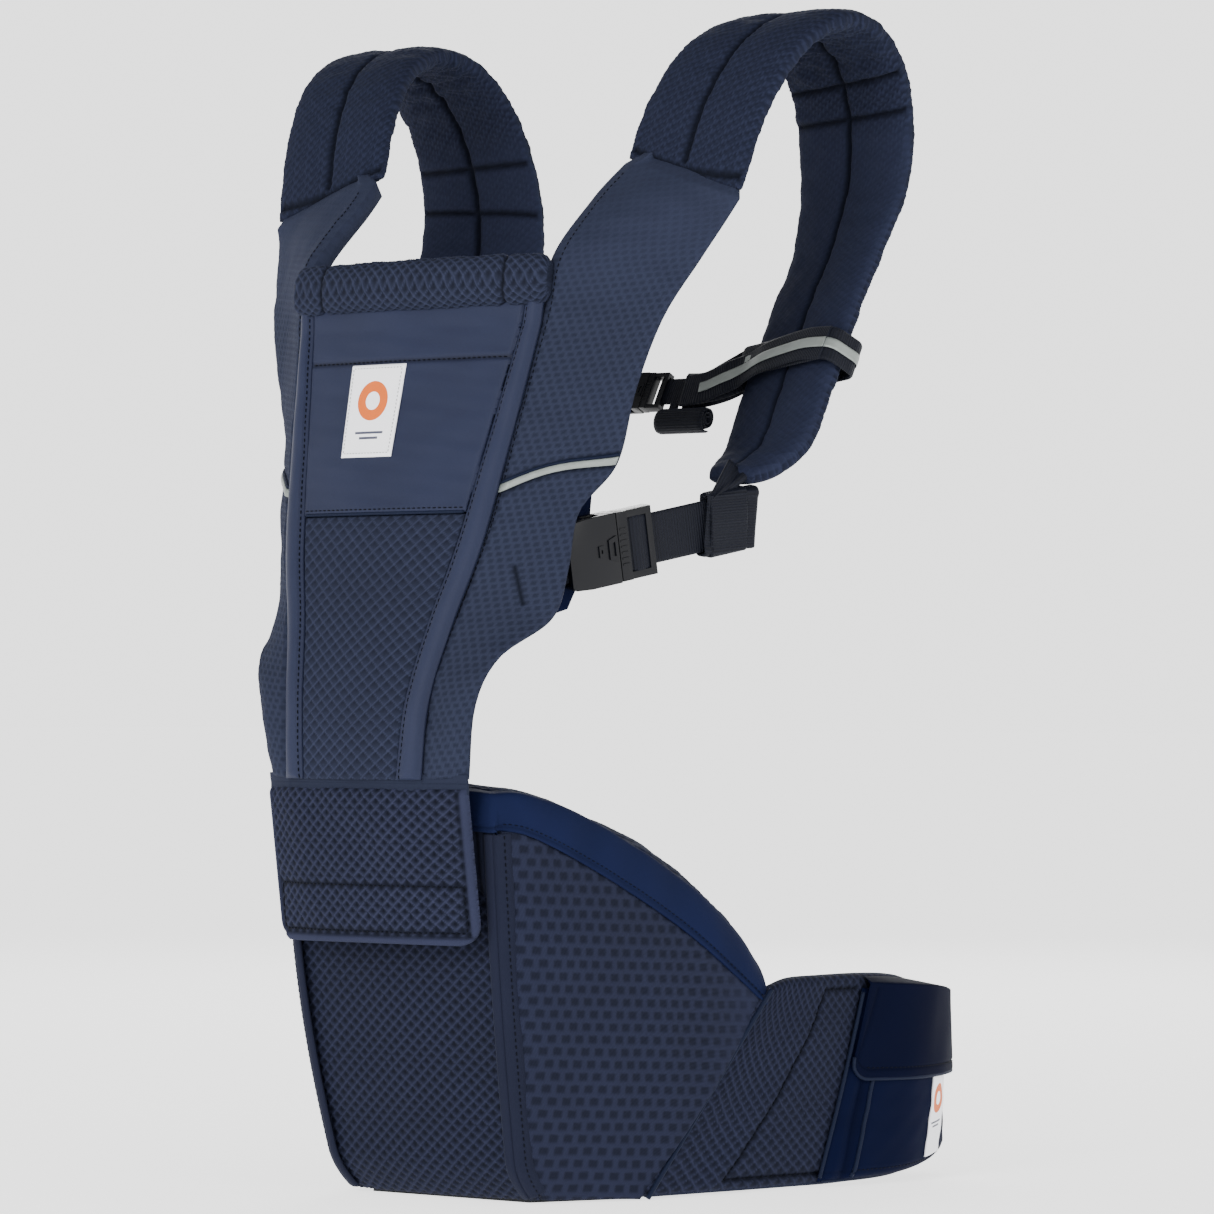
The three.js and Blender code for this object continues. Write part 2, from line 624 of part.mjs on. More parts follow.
// ---------- waist belt ----------
const BELT_FOOT = curve([
  [113.4, -53, 1.5], [125, 5, 1.5], [135, 60, 1.5], [140, 110, 1.5], [137, 160, 3],
  [124, 205, 8], [99, 240, 16], [78, 254, 22], [62, 257, 26],
]);
const BELT_HEAD = curve([
  [137.8, 44, 121.5], [140.5, 62, 135], [143.5, 90, 137], [144, 130, 137], [138, 172, 135],
  [124, 210, 130], [99, 242, 120], [78, 255, 112], [62, 258, 108],
]);
const ARM_END = 62;
const WAIST_Y = 259.6;
const WAIST_Z = 67;
const WAIST_BUCKLE_X = -56; // closed end of the waist buckle

const beltPoint = (u, v) => BELT_FOOT.getPoint(v).lerp(BELT_HEAD.getPoint(v), u);

// Grid on the left arm: v runs along the belt, u up it.
function beltGrid(rows, cols, vAt, u0 = 0, u1 = 1) {
  return Array.from({ length: rows + 1 }, (_, i) =>
    Array.from({ length: cols + 1 }, (_, j) => {
      const u = mix(u0, u1, j / cols);
      return beltPoint(u, vAt(i / rows, Math.min(u, 1)));
    }),
  );
}

// Depth layers on the belt, whose outward side turns with it.
function beltLayer(grid, sign, top, bottom) {
  const arm = onSide(grid, sign);
  const normals = gridNormals(arm, [1, 0, 0]).map((row, i) =>
    row.map((n, j) => {
      const fromMiddle = new THREE.Vector3(arm[i][j].x, arm[i][j].y - 150, 0);
      return n.dot(fromMiddle) < 0 ? n.negate() : n;
    }),
  );
  return sandwich(arm, normals, top, bottom);
}

function buildBelt() {
  for (const { side, sign } of SIDES) {
    const grid = beltGrid(24, 4, (t) => t);
    add(`belt_arm_${side}`, beltLayer(grid, sign, 0, BELT_T), "mesh");
  }
  const buckle = frameAt([WAIST_BUCKLE_X, WAIST_Y, WAIST_Z], [1, 0, 0], [0, 0, 1]);
  sideRelease(buckle, "waist", WAIST_WEB);
  const [t, w] = [WEB_T / 2, WAIST_WEB / 2];
  const web = (x0, x1) => box(x0, x1, WAIST_Y - t, WAIST_Y + t, WAIST_Z - w, WAIST_Z + w);
  add("waist_tab", web(-ARM_END - 22, WAIST_BUCKLE_X + 7), "webbing");
  add("waist_webbing", web(WAIST_BUCKLE_X + buckleLength(WAIST_WEB) - 9, ARM_END + 8), "webbing");
}

// ---------- pouch on the left arm ----------
// Its front edge slants with the belt, and its gusset opens from nothing there.
const pouchFront = (u) => mix(0.315, 0.38, u);
const POUCH_BACK = 0.775;
const POUCH_TOP = 0.93;
const pouchDepth = (i) => POUCH_T * Math.min(1, 0.12 + i / 3);

function buildPouch() {
  const rows = 10;
  const along = (from, to) => (t, u) => mix(pouchFront(u) + from, POUCH_BACK + to, t);
  const outside = beltGrid(rows, 4, along(0, 0), 0.02, POUCH_TOP);
  const shell = beltLayer(outside, 1, (i) => -pouchDepth(i), -0.6);
  const wall = POUCH_WALL;
  const room = beltLayer(
    beltGrid(rows, 4, along(0.06, -0.012), 0.06, POUCH_TOP + 0.2),
    1,
    (i) => wall - pouchDepth(i + 1.5),
    -0.6 - wall,
  );
  add("pouch_body", cut(shell, room), "plain");
  // The flap: its root on the belt's top edge, then down over the pouch.
  const flapAlong = along(0.004, 0.02);
  const lid = beltLayer(beltGrid(rows, 1, flapAlong, 0.955, 0.985), 1, (i) => -pouchDepth(i) - 3, -0.9);
  const front = beltLayer(
    beltGrid(rows, 3, flapAlong, 0.5, 0.985),
    1,
    (i, j) => -pouchDepth(i) - 4.6 - (i / rows) * (3 - j),
    (i, j) => -pouchDepth(i) - 1.8 - (i / rows) * (3 - j),
  );
  add("pouch_flap", join(front, lid), "plain");
  const label = beltGrid(2, 4, (t, u) => mix(pouchFront(u), POUCH_BACK, 0.5 + 0.14 * t), 0.07, 0.48);
  add("pouch_label", beltLayer(label, 1, -POUCH_T - 1.1, -POUCH_T - 0.6), "label");
}

buildFront();
buildHeadRoll();
SIDES.forEach(buildSide);
buildChest();
buildSeat();
buildFlap();
buildBelt();
buildPouch();

export default carrier;
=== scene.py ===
import math

import bpy
import numpy as np
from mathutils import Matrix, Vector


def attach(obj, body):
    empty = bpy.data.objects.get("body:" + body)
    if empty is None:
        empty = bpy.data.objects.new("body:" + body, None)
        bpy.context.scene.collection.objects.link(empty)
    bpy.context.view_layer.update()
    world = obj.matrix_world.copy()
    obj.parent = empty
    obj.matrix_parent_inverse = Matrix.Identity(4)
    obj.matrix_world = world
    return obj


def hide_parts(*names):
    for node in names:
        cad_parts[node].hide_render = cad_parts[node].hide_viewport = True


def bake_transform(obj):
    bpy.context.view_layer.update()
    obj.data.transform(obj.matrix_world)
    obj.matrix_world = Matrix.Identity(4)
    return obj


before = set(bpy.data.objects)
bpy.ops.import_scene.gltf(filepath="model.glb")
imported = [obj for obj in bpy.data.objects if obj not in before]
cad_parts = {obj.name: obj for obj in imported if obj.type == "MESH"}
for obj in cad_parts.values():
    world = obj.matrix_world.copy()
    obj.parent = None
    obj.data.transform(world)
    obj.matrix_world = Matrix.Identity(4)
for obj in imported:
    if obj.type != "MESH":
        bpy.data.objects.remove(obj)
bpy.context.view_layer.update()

# Shapes below are in millimetres, as in the CAD source, and turned to metres when a mesh is made.
MM = 0.001
SIDES = (("left", 1), ("right", -1))


# ---------- lines, grids and closed skins ----------
def vec(*values):
    return np.array(values, float)


def mix(a, b, t):
    return a + (b - a) * t


def unit(v):
    return v / np.maximum(np.linalg.norm(v, axis=-1, keepdims=True), 1e-9)


def catmull(points, t):
    """Uniform Catmull-Rom through points (along the first axis) at the parameters t from 0 to 1."""
    p = np.asarray(points, float)
    p = np.concatenate([2 * p[:1] - p[1:2], p, 2 * p[-1:] - p[-2:-1]])
    spans = len(p) - 3
    x = np.clip(np.asarray(t, float), 0, 1) * spans
    i = np.minimum(x.astype(int), spans - 1)
    w = (x - i).reshape((-1,) + (1,) * (p.ndim - 1))
    a, b, c, d = p[i], p[i + 1], p[i + 2], p[i + 3]
    m, n = (c - a) / 2, (d - b) / 2
    return (2 * b - 2 * c + m + n) * w**3 + (3 * c - 3 * b - 2 * m - n) * w**2 + m * w + b


def resample(grid, rows, cols):
    down = catmull(grid, np.linspace(0, 1, rows))
    return np.swapaxes(catmull(np.swapaxes(down, 0, 1), np.linspace(0, 1, cols)), 0, 1)


def across(curves, v, u):
    """Grid over curves that run side by side: v along them, u across."""
    ribs = np.stack([catmull(c, v) for c in curves])
    return np.swapaxes(catmull(ribs, u), 0, 1)


def normals(grid, outward):
    n = unit(np.cross(np.gradient(grid, axis=1), np.gradient(grid, axis=0)))
    away = np.sum(n * outward, axis=-1, keepdims=True)
    return np.where(away < 0, -n, n)


def lengths(grid):
    """Distances along the grid's rows and columns, in mm."""
    along = np.linalg.norm(np.diff(grid, axis=1), axis=-1)
    down = np.linalg.norm(np.diff(grid, axis=0), axis=-1)
    s = np.concatenate([np.zeros((len(grid), 1)), np.cumsum(along, axis=1)], axis=1)
    t = np.concatenate([np.zeros((1, grid.shape[1])), np.cumsum(down, axis=0)])
    return s, t


def run_along(points):
    """Distance from the start of a line to each of its points."""
    return np.concatenate([[0], np.cumsum(np.linalg.norm(np.diff(points, axis=0), axis=1))])


def rounding(grid, radius, square=()):
    """0 at the rim and 1 inside, as a quarter circle. Edges named in square stay 1."""
    s, t = lengths(grid)
    away = {"start": s, "end": s[:, -1:] - s, "low": t, "high": t[-1:] - t}
    q = np.ones_like(s)
    for edge, d in away.items():
        if edge not in square:
            q = q * np.sqrt(1 - (1 - np.clip(d / radius, 0, 1)) ** 2)
    return q


def skin(front, back, step=1):
    """Closed mesh between a fine front grid and a back grid of which every step-th point is kept."""
    rows, cols = front.shape[:2]
    coarse = back[::step, ::step]
    r, c = coarse.shape[:2]
    top = np.arange(rows * cols).reshape(rows, cols)
    low = rows * cols + np.arange(r * c).reshape(r, c)

    def quads(a):
        return np.stack([a[:-1, :-1], a[:-1, 1:], a[1:, 1:], a[1:, :-1]], -1).reshape(-1, 4)

    faces = quads(top).tolist() + quads(low)[:, ::-1].tolist()

    def ring(a):
        return np.concatenate([a[0, :-1], a[:-1, -1], a[-1, :0:-1], a[:0:-1, 0]])

    fine, thin = ring(top), ring(low)
    for k in range(len(thin)):
        here, there = int(thin[k]), int(thin[(k + 1) % len(thin)])
        part = [int(fine[(k * step + m) % len(fine)]) for m in range(step + 1)]
        if step == 1:
            faces.append([part[0], here, there, part[1]])
            continue
        half = step // 2
        for m in range(step):
            faces.append([part[m], here if m < half else there, part[m + 1]])
        faces.append([part[half], here, there])
    verts = np.concatenate([front.reshape(-1, 3), coarse.reshape(-1, 3)])
    return verts, faces


def outward_faces(verts, faces):
    """The faces, all turned if the closed mesh is inside out."""
    first = np.array([f[0] for f in faces])
    volume = 0.0
    for m in (1, 2):
        keep = [i for i, f in enumerate(faces) if len(f) > m + 1]
        a = verts[first[keep]]
        b = verts[[faces[i][m] for i in keep]]
        c = verts[[faces[i][m + 1] for i in keep]]
        volume += float(np.sum(a * np.cross(b, c)))
    return faces if volume > 0 else [f[::-1] for f in faces]


def mesh_object(name, verts, faces, uv=None, relief=None, smooth=True):
    me = bpy.data.meshes.new(name)
    me.from_pydata((verts * MM).tolist(), [], faces)
    if smooth:
        me.shade_smooth()
    count = len(me.loops)
    if uv is not None:
        order = np.zeros(count, int)
        me.loops.foreach_get("vertex_index", order)
        layer = me.uv_layers.new(name="cloth")
        layer.data.foreach_set("uv", (uv[order] * MM).ravel().astype(np.float32))
    if relief is not None:
        shade = me.attributes.new("relief", "FLOAT", "POINT")
        shade.data.foreach_set("value", relief.astype(np.float32))
    ob = bpy.data.objects.new(name, me)
    bpy.context.scene.collection.objects.link(ob)
    return ob


def finish_piece(ob, body, material, nodes=()):
    for m in material if isinstance(material, (list, tuple)) else [material]:
        ob.data.materials.append(m)
    if body:
        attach(ob, body)
    if nodes:
        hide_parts(*nodes)
    return ob


def cloth_piece(name, front, back, body, material, nodes=(), step=1, relief=None):
    """A piece of cloth between two grids, with its distances as UVs and its weave's relief as shade."""
    verts, faces = skin(front, back, step)
    faces = outward_faces(verts, faces)
    flat = np.stack(lengths(front), -1)
    uvs = np.concatenate([flat.reshape(-1, 2), flat[::step, ::step].reshape(-1, 2)])
    if relief is None:
        relief = np.ones(front.shape[:2])
    shade = np.concatenate([relief.ravel(), np.full(len(uvs) - relief.size, 0.75)])
    ob = mesh_object(name, verts, faces, uvs, shade)
    return finish_piece(ob, body, material, nodes)


# ---------- weave relief ----------
# Width and height of each fabric's cells.
AIR_CELL, WALL_CELL, FLAP_CELL, BELT_CELL = (9.6, 8.0), (9.6, 7.8), (8.4, 7.2), (9.0, 7.4)
ROLL_CELL, PAD_CELL, WING_CELL, SIDE_CELL = (7.7, 6.8), (7.2, 5.6), (5.6, 4.1), (10, 7.8)


def saw(x):
    """1 on whole numbers, 0 half-way between them."""
    return np.abs((x % 1) - 0.5) * 2


def ease(x, low, high):
    w = np.clip((x - low) / (high - low), 0, 1)
    return w * w * (3 - 2 * w)


def lattice(s, t, wide, high, sink=0.0):
    """Diamond cells outlined by thin raised threads. Each cell slopes in like a scale, deepest at its top,
    and its middle may sink further. As a colour the value paints each cell darker at its top and middle:
    partly the mesh's own dark cells, partly painted shade."""
    a, b = (s / wide + t / high) % 1 - 0.5, (s / wide - t / high) % 1 - 0.5
    out = 2 * np.maximum(np.abs(a), np.abs(b))
    thread = ease(out, 0.66, 0.95)
    # As colour, the scale's slope is painted shade, darkest at each cell's top.
    scale = 0.42 - 0.36 * (a - b) - sink * ease(out, 0.7, 0.2)
    return np.clip(np.maximum(thread, scale), 0, 1)


def blocks(s, t, wide, high, stagger):
    """Rows of sunk patches, soft at their lower edge, over a faint slanting hatch. As a colour the sunk
    patches are painted darker, as painted shade.
    """
    row = np.floor(t / high)
    level = t / high - row
    side = saw(s / wide + stagger * row)
    patch = ease(side, 0.8, 0.4) * ease(level, 0.15, 0.45) * ease(level, 0.98, 0.85)
    hatch = 0.14 * saw((s + t) / 1.6)
    # Sunk patches painted darker: painted shade.
    return 0.7 - 0.45 * patch + hatch


def bell(x, width):
    """1 at 0, falling smoothly to 0 over about twice the width."""
    return np.exp(-((x / width) ** 2))


def soft_noise(s, t, size, seed):
    """Smooth waves between -1 and 1 of about that size, the same each run."""
    rng = np.random.default_rng(seed)
    total = np.zeros_like(s)
    for _ in range(7):
        angle, phase = rng.uniform(0, math.pi), rng.uniform(0, 2 * math.pi)
        wave = 2 * math.pi / (size * rng.uniform(0.7, 1.6))
        total += np.sin((s * math.cos(angle) + t * math.sin(angle)) * wave + phase)
    return total / 4.2


def groove(s, t, line, width):
    """1 along a line of (s, t) points, falling to 0 over width."""
    near = np.full(s.shape, 1e9)
    for (a, b), (c, d) in zip(line[:-1], line[1:], strict=True):
        run = max((c - a) ** 2 + (d - b) ** 2, 1e-9)
        w = np.clip(((s - a) * (c - a) + (t - b) * (d - b)) / run, 0, 1)
        near = np.minimum(near, np.hypot(s - a - w * (c - a), t - b - w * (d - b)))
    return bell(near, width)


# ---------- cloth simulation ----------
def inflate(front, back, pinned, cap, pressure=4.0):
    """How far pressure moves a cloth skin between two grids whose pinned points and rims stay put."""
    verts, faces = skin(front, back)
    faces = outward_faces(verts, faces)
    ob = mesh_object("cloth_run", verts, faces)
    rows, cols = front.shape[:2]
    hold = np.zeros((2, rows, cols), bool)
    hold[:, [0, -1], :] = True
    hold[:, :, [0, -1]] = True
    hold[0] |= pinned
    group = ob.vertex_groups.new(name="hold")
    group.add(np.flatnonzero(hold.ravel()).tolist(), 1.0, "REPLACE")
    cloth = ob.modifiers.new("Cloth", "CLOTH")
    cloth.settings.quality = 5
    cloth.settings.vertex_group_mass = "hold"
    cloth.settings.use_pressure = True
    cloth.settings.uniform_pressure_force = pressure
    cloth.settings.shrink_min = -0.05  # a little slack
    cloth.settings.effector_weights.gravity = 0
    frames = 20
    cloth.point_cache.frame_start, cloth.point_cache.frame_end = 1, frames
    scene = bpy.context.scene
    for number in range(1, frames + 1):
        scene.frame_set(number)
    moved = ob.evaluated_get(bpy.context.evaluated_depsgraph_get())
    co = np.empty(len(verts) * 3, np.float32)
    moved.data.vertices.foreach_get("co", co)
    shift = co.reshape(-1, 3) / MM - verts
    bpy.data.objects.remove(ob)
    scene.frame_set(1)
    far = np.linalg.norm(shift, axis=1, keepdims=True)
    shift *= cap * np.tanh(far / cap) / np.maximum(far, 1e-6)
    return shift[: rows * cols].reshape(rows, cols, 3), shift[rows * cols :].reshape(rows, cols, 3)


def puffed(shape, rows, cols, outward, top, bottom, radius, cap, seams=None, pressure=4.0, every=6,
           square=()):
    """Front and back grids of a padded piece, with the simulation's swelling, and its normals."""

    def faces_of(r, c):
        grid = shape(np.linspace(0, 1, r), np.linspace(0, 1, c))
        n = normals(grid, outward(grid) if callable(outward) else outward)
        q = rounding(grid, radius, square)[..., None]
        high, low = (d(np.linspace(0, 1, c))[None, :, None] if callable(d) else d for d in (top, bottom))
        middle, half = (high + low) / 2, (low - high) / 2
        return grid, n, grid - n * (middle - half * q), grid - n * (middle + half * q)

    _, _, f, b = faces_of(max(rows // every, 5), max(cols // every, 5))
    pinned = np.zeros(f.shape[:2], bool) if seams is None else seams(*np.meshgrid(
        np.linspace(0, 1, f.shape[0]), np.linspace(0, 1, f.shape[1]), indexing="ij"))
    df, db = inflate(f, b, pinned, cap, pressure)
    grid, n, front, back = faces_of(rows, cols)
    front = front + resample(df, rows, cols)
    back = back + resample(db, rows, cols)
    return grid, n, front, back


# ---------- materials ----------
class Nodes:
    """Small helper to write node trees."""

    def __init__(self, name):
        self.material = bpy.data.materials.new(name)
        self.material.use_nodes = True
        self.tree = self.material.node_tree
        self.bsdf = self.tree.nodes["Principled BSDF"]

    def add(self, kind, **inputs):
        node = self.tree.nodes.new("ShaderNode" + kind)
        for key, value in inputs.items():
            self.put(node, key, value)
        return node

    def put(self, node, key, value):
        target = node.inputs[int(key[1:])] if key[0] == "i" and key[1:].isdigit() else node.inputs[key]
        if isinstance(value, bpy.types.NodeSocket):
            self.tree.links.new(value, target)
        else:
            target.default_value = value

    def math(self, kind, a, b=0.0, c=None):
        node = self.add("Math", i0=a, i1=b)
        node.operation = kind
        if c is not None:
            self.put(node, "i2", c)
        return node.outputs[0]

    def times(self, *factors):
        product = factors[0]
        for factor in factors[1:]:
            product = self.math("MULTIPLY", product, factor)
        return product

    def wave(self, x):
        return self.math("SINE", x)

    def place(self, kind):
        """The mesh's UVs or its own coordinates, from one node for the whole material."""
        node = self.tree.nodes.get("Texture Coordinate") or self.add("TexCoord")
        return node.outputs[kind]

    def uv(self):
        split = self.add("SeparateXYZ", i0=self.place("UV"))
        return split.outputs[0], split.outputs[1]

    def noise(self, scale, detail):
        return self.add("TexNoise", Vector=self.place("Object"), Scale=scale, Detail=detail).outputs["Fac"]

    def base(self, colour, brightness):
        grey = self.add("CombineXYZ", i0=brightness, i1=brightness, i2=brightness)
        self.put(self.bsdf, "Base Color", self.colour_mix(1.0, colour, grey.outputs[0], "MULTIPLY"))

    def bump(self, height, strength, distance):
        node = self.add("Bump", Height=height, Strength=strength, Distance=distance)
        self.put(self.bsdf, "Normal", node.outputs[0])

    def colour_mix(self, factor, a, b, kind="MIX"):
        node = self.tree.nodes.new("ShaderNodeMix")
        node.data_type = "RGBA"
        node.blend_type = kind
        self.put(node, "i0", factor)
        self.put(node, "i6", a)
        self.put(node, "i7", b)
        return node.outputs[2]

    def set(self, **inputs):
        for key, value in inputs.items():
            self.put(self.bsdf, key.replace("_", " "), value)


def linear(r, g, b):
    """Linear colour from 8-bit screen values."""
    out = [((x / 255 + 0.055) / 1.055) ** 2.4 if x > 10 else x / 255 / 12.92 for x in (r, g, b)]
    return (*out, 1.0)


def cloth_material(name, low, high, rough=0.85, sheen=0.02, weave="twill", pitch=0.8, bump=0.25, heather=0.12,
                   gloss=0.07):
    """Cloth: sunk and raised colours by relief, a fine weave, and slow and fine colour variation. The darker
    sunk colour is partly the cloth's own dark hollows and partly painted shade in them; the fine weave's
    crests are painted lighter, as painted shade.
    """
    n = Nodes(name)
    relief = n.add("Attribute")
    relief.attribute_name = "relief"
    u, v = n.uv()
    turn = 2 * math.pi / (pitch * MM)
    if weave == "twill":
        line = n.wave(n.times(n.math("ADD", u, v), turn))
        tick = n.wave(n.times(n.math("SUBTRACT", u, v), turn * 0.5))
        height = n.math("ADD", line, n.times(tick, 0.4))
    elif weave == "rib":
        line = n.wave(n.times(v, turn))
        tick = n.wave(n.times(u, turn * 1.7))
        height = n.math("ADD", line, n.times(line, tick, 0.8))
    elif weave == "knit":
        line = n.wave(n.times(u, turn))
        tick = n.wave(n.math("ADD", n.times(v, turn * 1.3), n.times(line, 1.5)))
        height = n.times(n.math("ADD", line, tick), 0.7)
    else:
        height = n.times(n.wave(n.times(u, turn)), n.wave(n.times(v, turn)))
    fine, slow = n.noise(900.0, 2.0), n.noise(14.0, 3.0)
    # Painted shade on the fine weave: crests lighter, hollows darker.
    thread = n.math("MULTIPLY_ADD", height, 0.06, 1.0)
    grain = n.math("MULTIPLY_ADD", fine, heather * 2, 1.0 - heather)
    tone = n.math("MULTIPLY_ADD", slow, 0.3, 0.85)
    # The relief value mixes the sunk and raised colours: painted shade in hollows, plus the painted
    # highlights and shade that pieces pass in.
    n.base(n.colour_mix(relief.outputs["Fac"], linear(*low), linear(*high)), n.times(thread, grain, tone))
    n.bump(n.math("ADD", n.times(height, 0.5), fine), bump, 0.0004)
    n.set(Roughness=n.math("MULTIPLY_ADD", slow, 0.12, rough - 0.06), Sheen_Weight=sheen, Sheen_Roughness=0.4,
          Specular_IOR_Level=gloss, Sheen_Tint=(0.55, 0.65, 1.0, 1.0))
    return n.material


def plastic_material(name, colour, rough):
    n = Nodes(name)
    cloud = n.noise(60.0, 3.0)
    n.base(linear(*colour), n.math("MULTIPLY_ADD", cloud, 0.3, 0.85))
    n.bump(n.noise(2600.0, 2.0), 0.12, 0.0002)
    n.set(Roughness=n.math("MULTIPLY_ADD", cloud, 0.16, rough - 0.08), Specular_IOR_Level=0.2)
    return n.material


def label_material():
    """White woven label with a plain orange ring over two short bars. UVs run from the label's corner."""
    n = Nodes("woven_label")
    u, v = n.uv()
    middle_u, middle_v, ring_radius, ring_half = 0.0225, 0.037, 0.0095, 0.0035

    def near(x, value, reach):
        return n.math("LESS_THAN", n.math("ABSOLUTE", n.math("SUBTRACT", x, value)), reach)

    ring = n.math("SQRT", n.math("ADD", n.math("POWER", n.math("SUBTRACT", u, middle_u), 2.0),
                                 n.math("POWER", n.math("SUBTRACT", v, middle_v), 2.0)))
    ring = near(ring, ring_radius, ring_half)
    long_bar = n.times(near(u, middle_u, 0.012), near(v, 0.016, 0.0008))
    short_bar = n.times(near(u, middle_u, 0.008), near(v, 0.0125, 0.0008))
    threads = n.times(n.wave(n.times(u, 9000.0)), n.wave(n.times(v, 9000.0)))
    colour = n.colour_mix(ring, linear(246, 246, 250), linear(205, 92, 2))
    colour = n.colour_mix(n.math("MAXIMUM", long_bar, short_bar), colour, linear(60, 62, 80))
    # Painted shade on the label's weave: crests a little lighter.
    n.base(colour, n.math("MULTIPLY_ADD", threads, 0.03, 0.97))
    n.bump(threads, 0.3, 0.0002)
    n.set(Roughness=0.6, Specular_IOR_Level=0.3, Sheen_Weight=0.1)
    return n.material


def reflective_material():
    """Tape with a fine glass-bead grain."""
    n = Nodes("reflective_tape")
    u, v = n.uv()
    beads = n.times(n.wave(n.times(u, 6000.0)), n.wave(n.times(v, 6000.0)))
    n.base(linear(118, 124, 121), n.math("MULTIPLY_ADD", n.noise(90.0, 3.0), 0.35, 0.8))
    n.bump(beads, 0.2, 0.0002)
    n.set(Roughness=0.38, Metallic=0.25, Specular_IOR_Level=0.5)
    return n.material


MESH = cloth_material("navy_air_mesh", (9, 11, 19), (39, 43, 61))
# The shoulder pads' mesh colours are painted darker than the air mesh's, as painted shade on the pads.
PAD_MESH_SHADED = cloth_material("navy_pad_mesh_painted_shade", (6, 8, 16), (31, 35, 53))
WAFFLE = cloth_material("navy_waffle", (6, 8, 16), (39, 42, 61))
BELT_MESH = cloth_material("navy_belt_mesh", (7, 9, 17), (33, 36, 54))
WING = cloth_material("navy_wing_mesh", (10, 13, 22), (39, 43, 60))
SATIN = cloth_material("navy_satin", (10, 13, 28), (27, 32, 53), rough=0.6, pitch=0.5, bump=0.12,
                       heather=0.14, gloss=0.15)
ROYAL = cloth_material("royal_satin", (1, 3, 21), (3, 8, 33), rough=0.78, pitch=0.5, bump=0.1, heather=0.05,
                       sheen=0.0, gloss=0.05)
# The rim band's satin is painted lighter than the royal satin, as painted light on the curved rim.
RIM_SATIN_LIT = cloth_material("rim_satin_painted_light", (5, 9, 28), (14, 21, 49), rough=0.78, pitch=0.5, bump=0.1,
                           heather=0.06, sheen=0.0, gloss=0.06)
KNIT = cloth_material("navy_knit", (14, 18, 30), (30, 36, 53), weave="knit", pitch=1.1, heather=0.3, bump=0.4)
WEBBING = cloth_material("navy_black_webbing", (1, 2, 6), (11, 14, 25), rough=0.62, weave="rib", pitch=1.7,
                         bump=0.6, heather=0.1, gloss=0.15)
THREAD = cloth_material("dark_thread", (2, 4, 9), (5, 7, 15), rough=0.6, sheen=0.0)
SEAM = cloth_material("navy_piping", (8, 12, 26), (18, 24, 42), rough=0.6, pitch=0.5)
PLASTIC = plastic_material("satin_black_plastic", (4, 5, 10), 0.32)
BOARD = plastic_material("grey_black_board", (24, 26, 30), 0.6)
FOAM = cloth_material("pale_foam", (110, 112, 118), (150, 152, 158), rough=0.95, sheen=0.0, weave="plain",
                      pitch=3.0)
LABEL = label_material()
SILVER = reflective_material()


# ---------- threads, piping and webbing ----------
def sweep(path, side, outline, closed=False):
    """Mesh data of a section carried along a path. outline(i) is its points as (across, out)."""
    tangent = unit(np.gradient(path, axis=0))
    if closed:
        tangent = unit(np.roll(path, -1, 0) - np.roll(path, 1, 0))
    s = unit(side - tangent * np.sum(side * tangent, 1, keepdims=True))
    n = np.cross(tangent, s)
    rings = []
    for i in range(len(path)):
        section = outline(i)
        rings.append(path[i] + s[i] * section[:, :1] + n[i] * section[:, 1:2])
    rings = np.stack(rings)
    count, around = rings.shape[:2]
    index = np.arange(count * around).reshape(count, around)
    nxt = np.roll(index, -1, 1)
    low, high = (index, np.roll(index, -1, 0)) if closed else (index[:-1], index[1:])
    a, b = (nxt, np.roll(nxt, -1, 0)) if closed else (nxt[:-1], nxt[1:])
    faces = np.stack([low, a, b, high], -1).reshape(-1, 4).tolist()
    if not closed:
        faces += [index[0][::-1].tolist(), index[-1].tolist()]
    verts = rings.reshape(-1, 3)
    volume_faces = faces if closed else faces[:-2]
    a, b, c, d = (verts[[f[m] for f in volume_faces]] for m in range(4))
    turned = float(np.sum(a * np.cross(b, c)) + np.sum(a * np.cross(c, d))) < 0
    if turned:
        faces = [f[::-1] for f in faces]
    run = run_along(path)
    section = outline(0)
    uv = np.stack([np.broadcast_to(section[:, 0], (count, around)),
                   np.broadcast_to(run[:, None], (count, around))], -1).reshape(-1, 2)
    return verts, faces, uv


def even(points, step):
    """Points at even steps along a line."""
    points = np.asarray(points, float)
    run = run_along(points)
    count = max(int(run[-1] / step), 2) + 1
    at = np.linspace(0, run[-1], count)
    return np.stack([np.interp(at, run, points[:, k]) for k in range(3)], 1)


def any_side(path):
    """A vector across a line at each of its points."""
    tangent = unit(np.gradient(path, axis=0))
    up = np.where(np.abs(tangent[:, 2:3]) < 0.9, vec(0, 0, 1), vec(1, 0, 0))
    return unit(np.cross(tangent, up))


def tube(name, line, radius, body, material):
    """Round piping along a line."""
    path = even(line, 2.0)
    a = np.linspace(0, 2 * math.pi, 8, endpoint=False)
    section = radius * np.stack([np.cos(a), np.sin(a)], 1)
    verts, faces, uv = sweep(path, any_side(path), lambda i: section)
    ob = mesh_object(name, verts, faces, uv, np.full(len(verts), 0.8))
    return finish_piece(ob, body, material)


def web_outline(width, thick, samples):
    """Section of flat webbing with rounded selvedges."""
    x = np.linspace(-1, 1, samples)
    selvedge = 1.6
    edge = 1 - np.clip((np.abs(x) - 1 + selvedge / width) * width / selvedge, 0, 1) ** 2
    half = thick / 2 * np.sqrt(np.maximum(edge, 0.05))
    top = np.stack([x * width / 2, half], 1)
    return np.concatenate([top, np.stack([x[::-1] * width / 2, -half[::-1]], 1)])


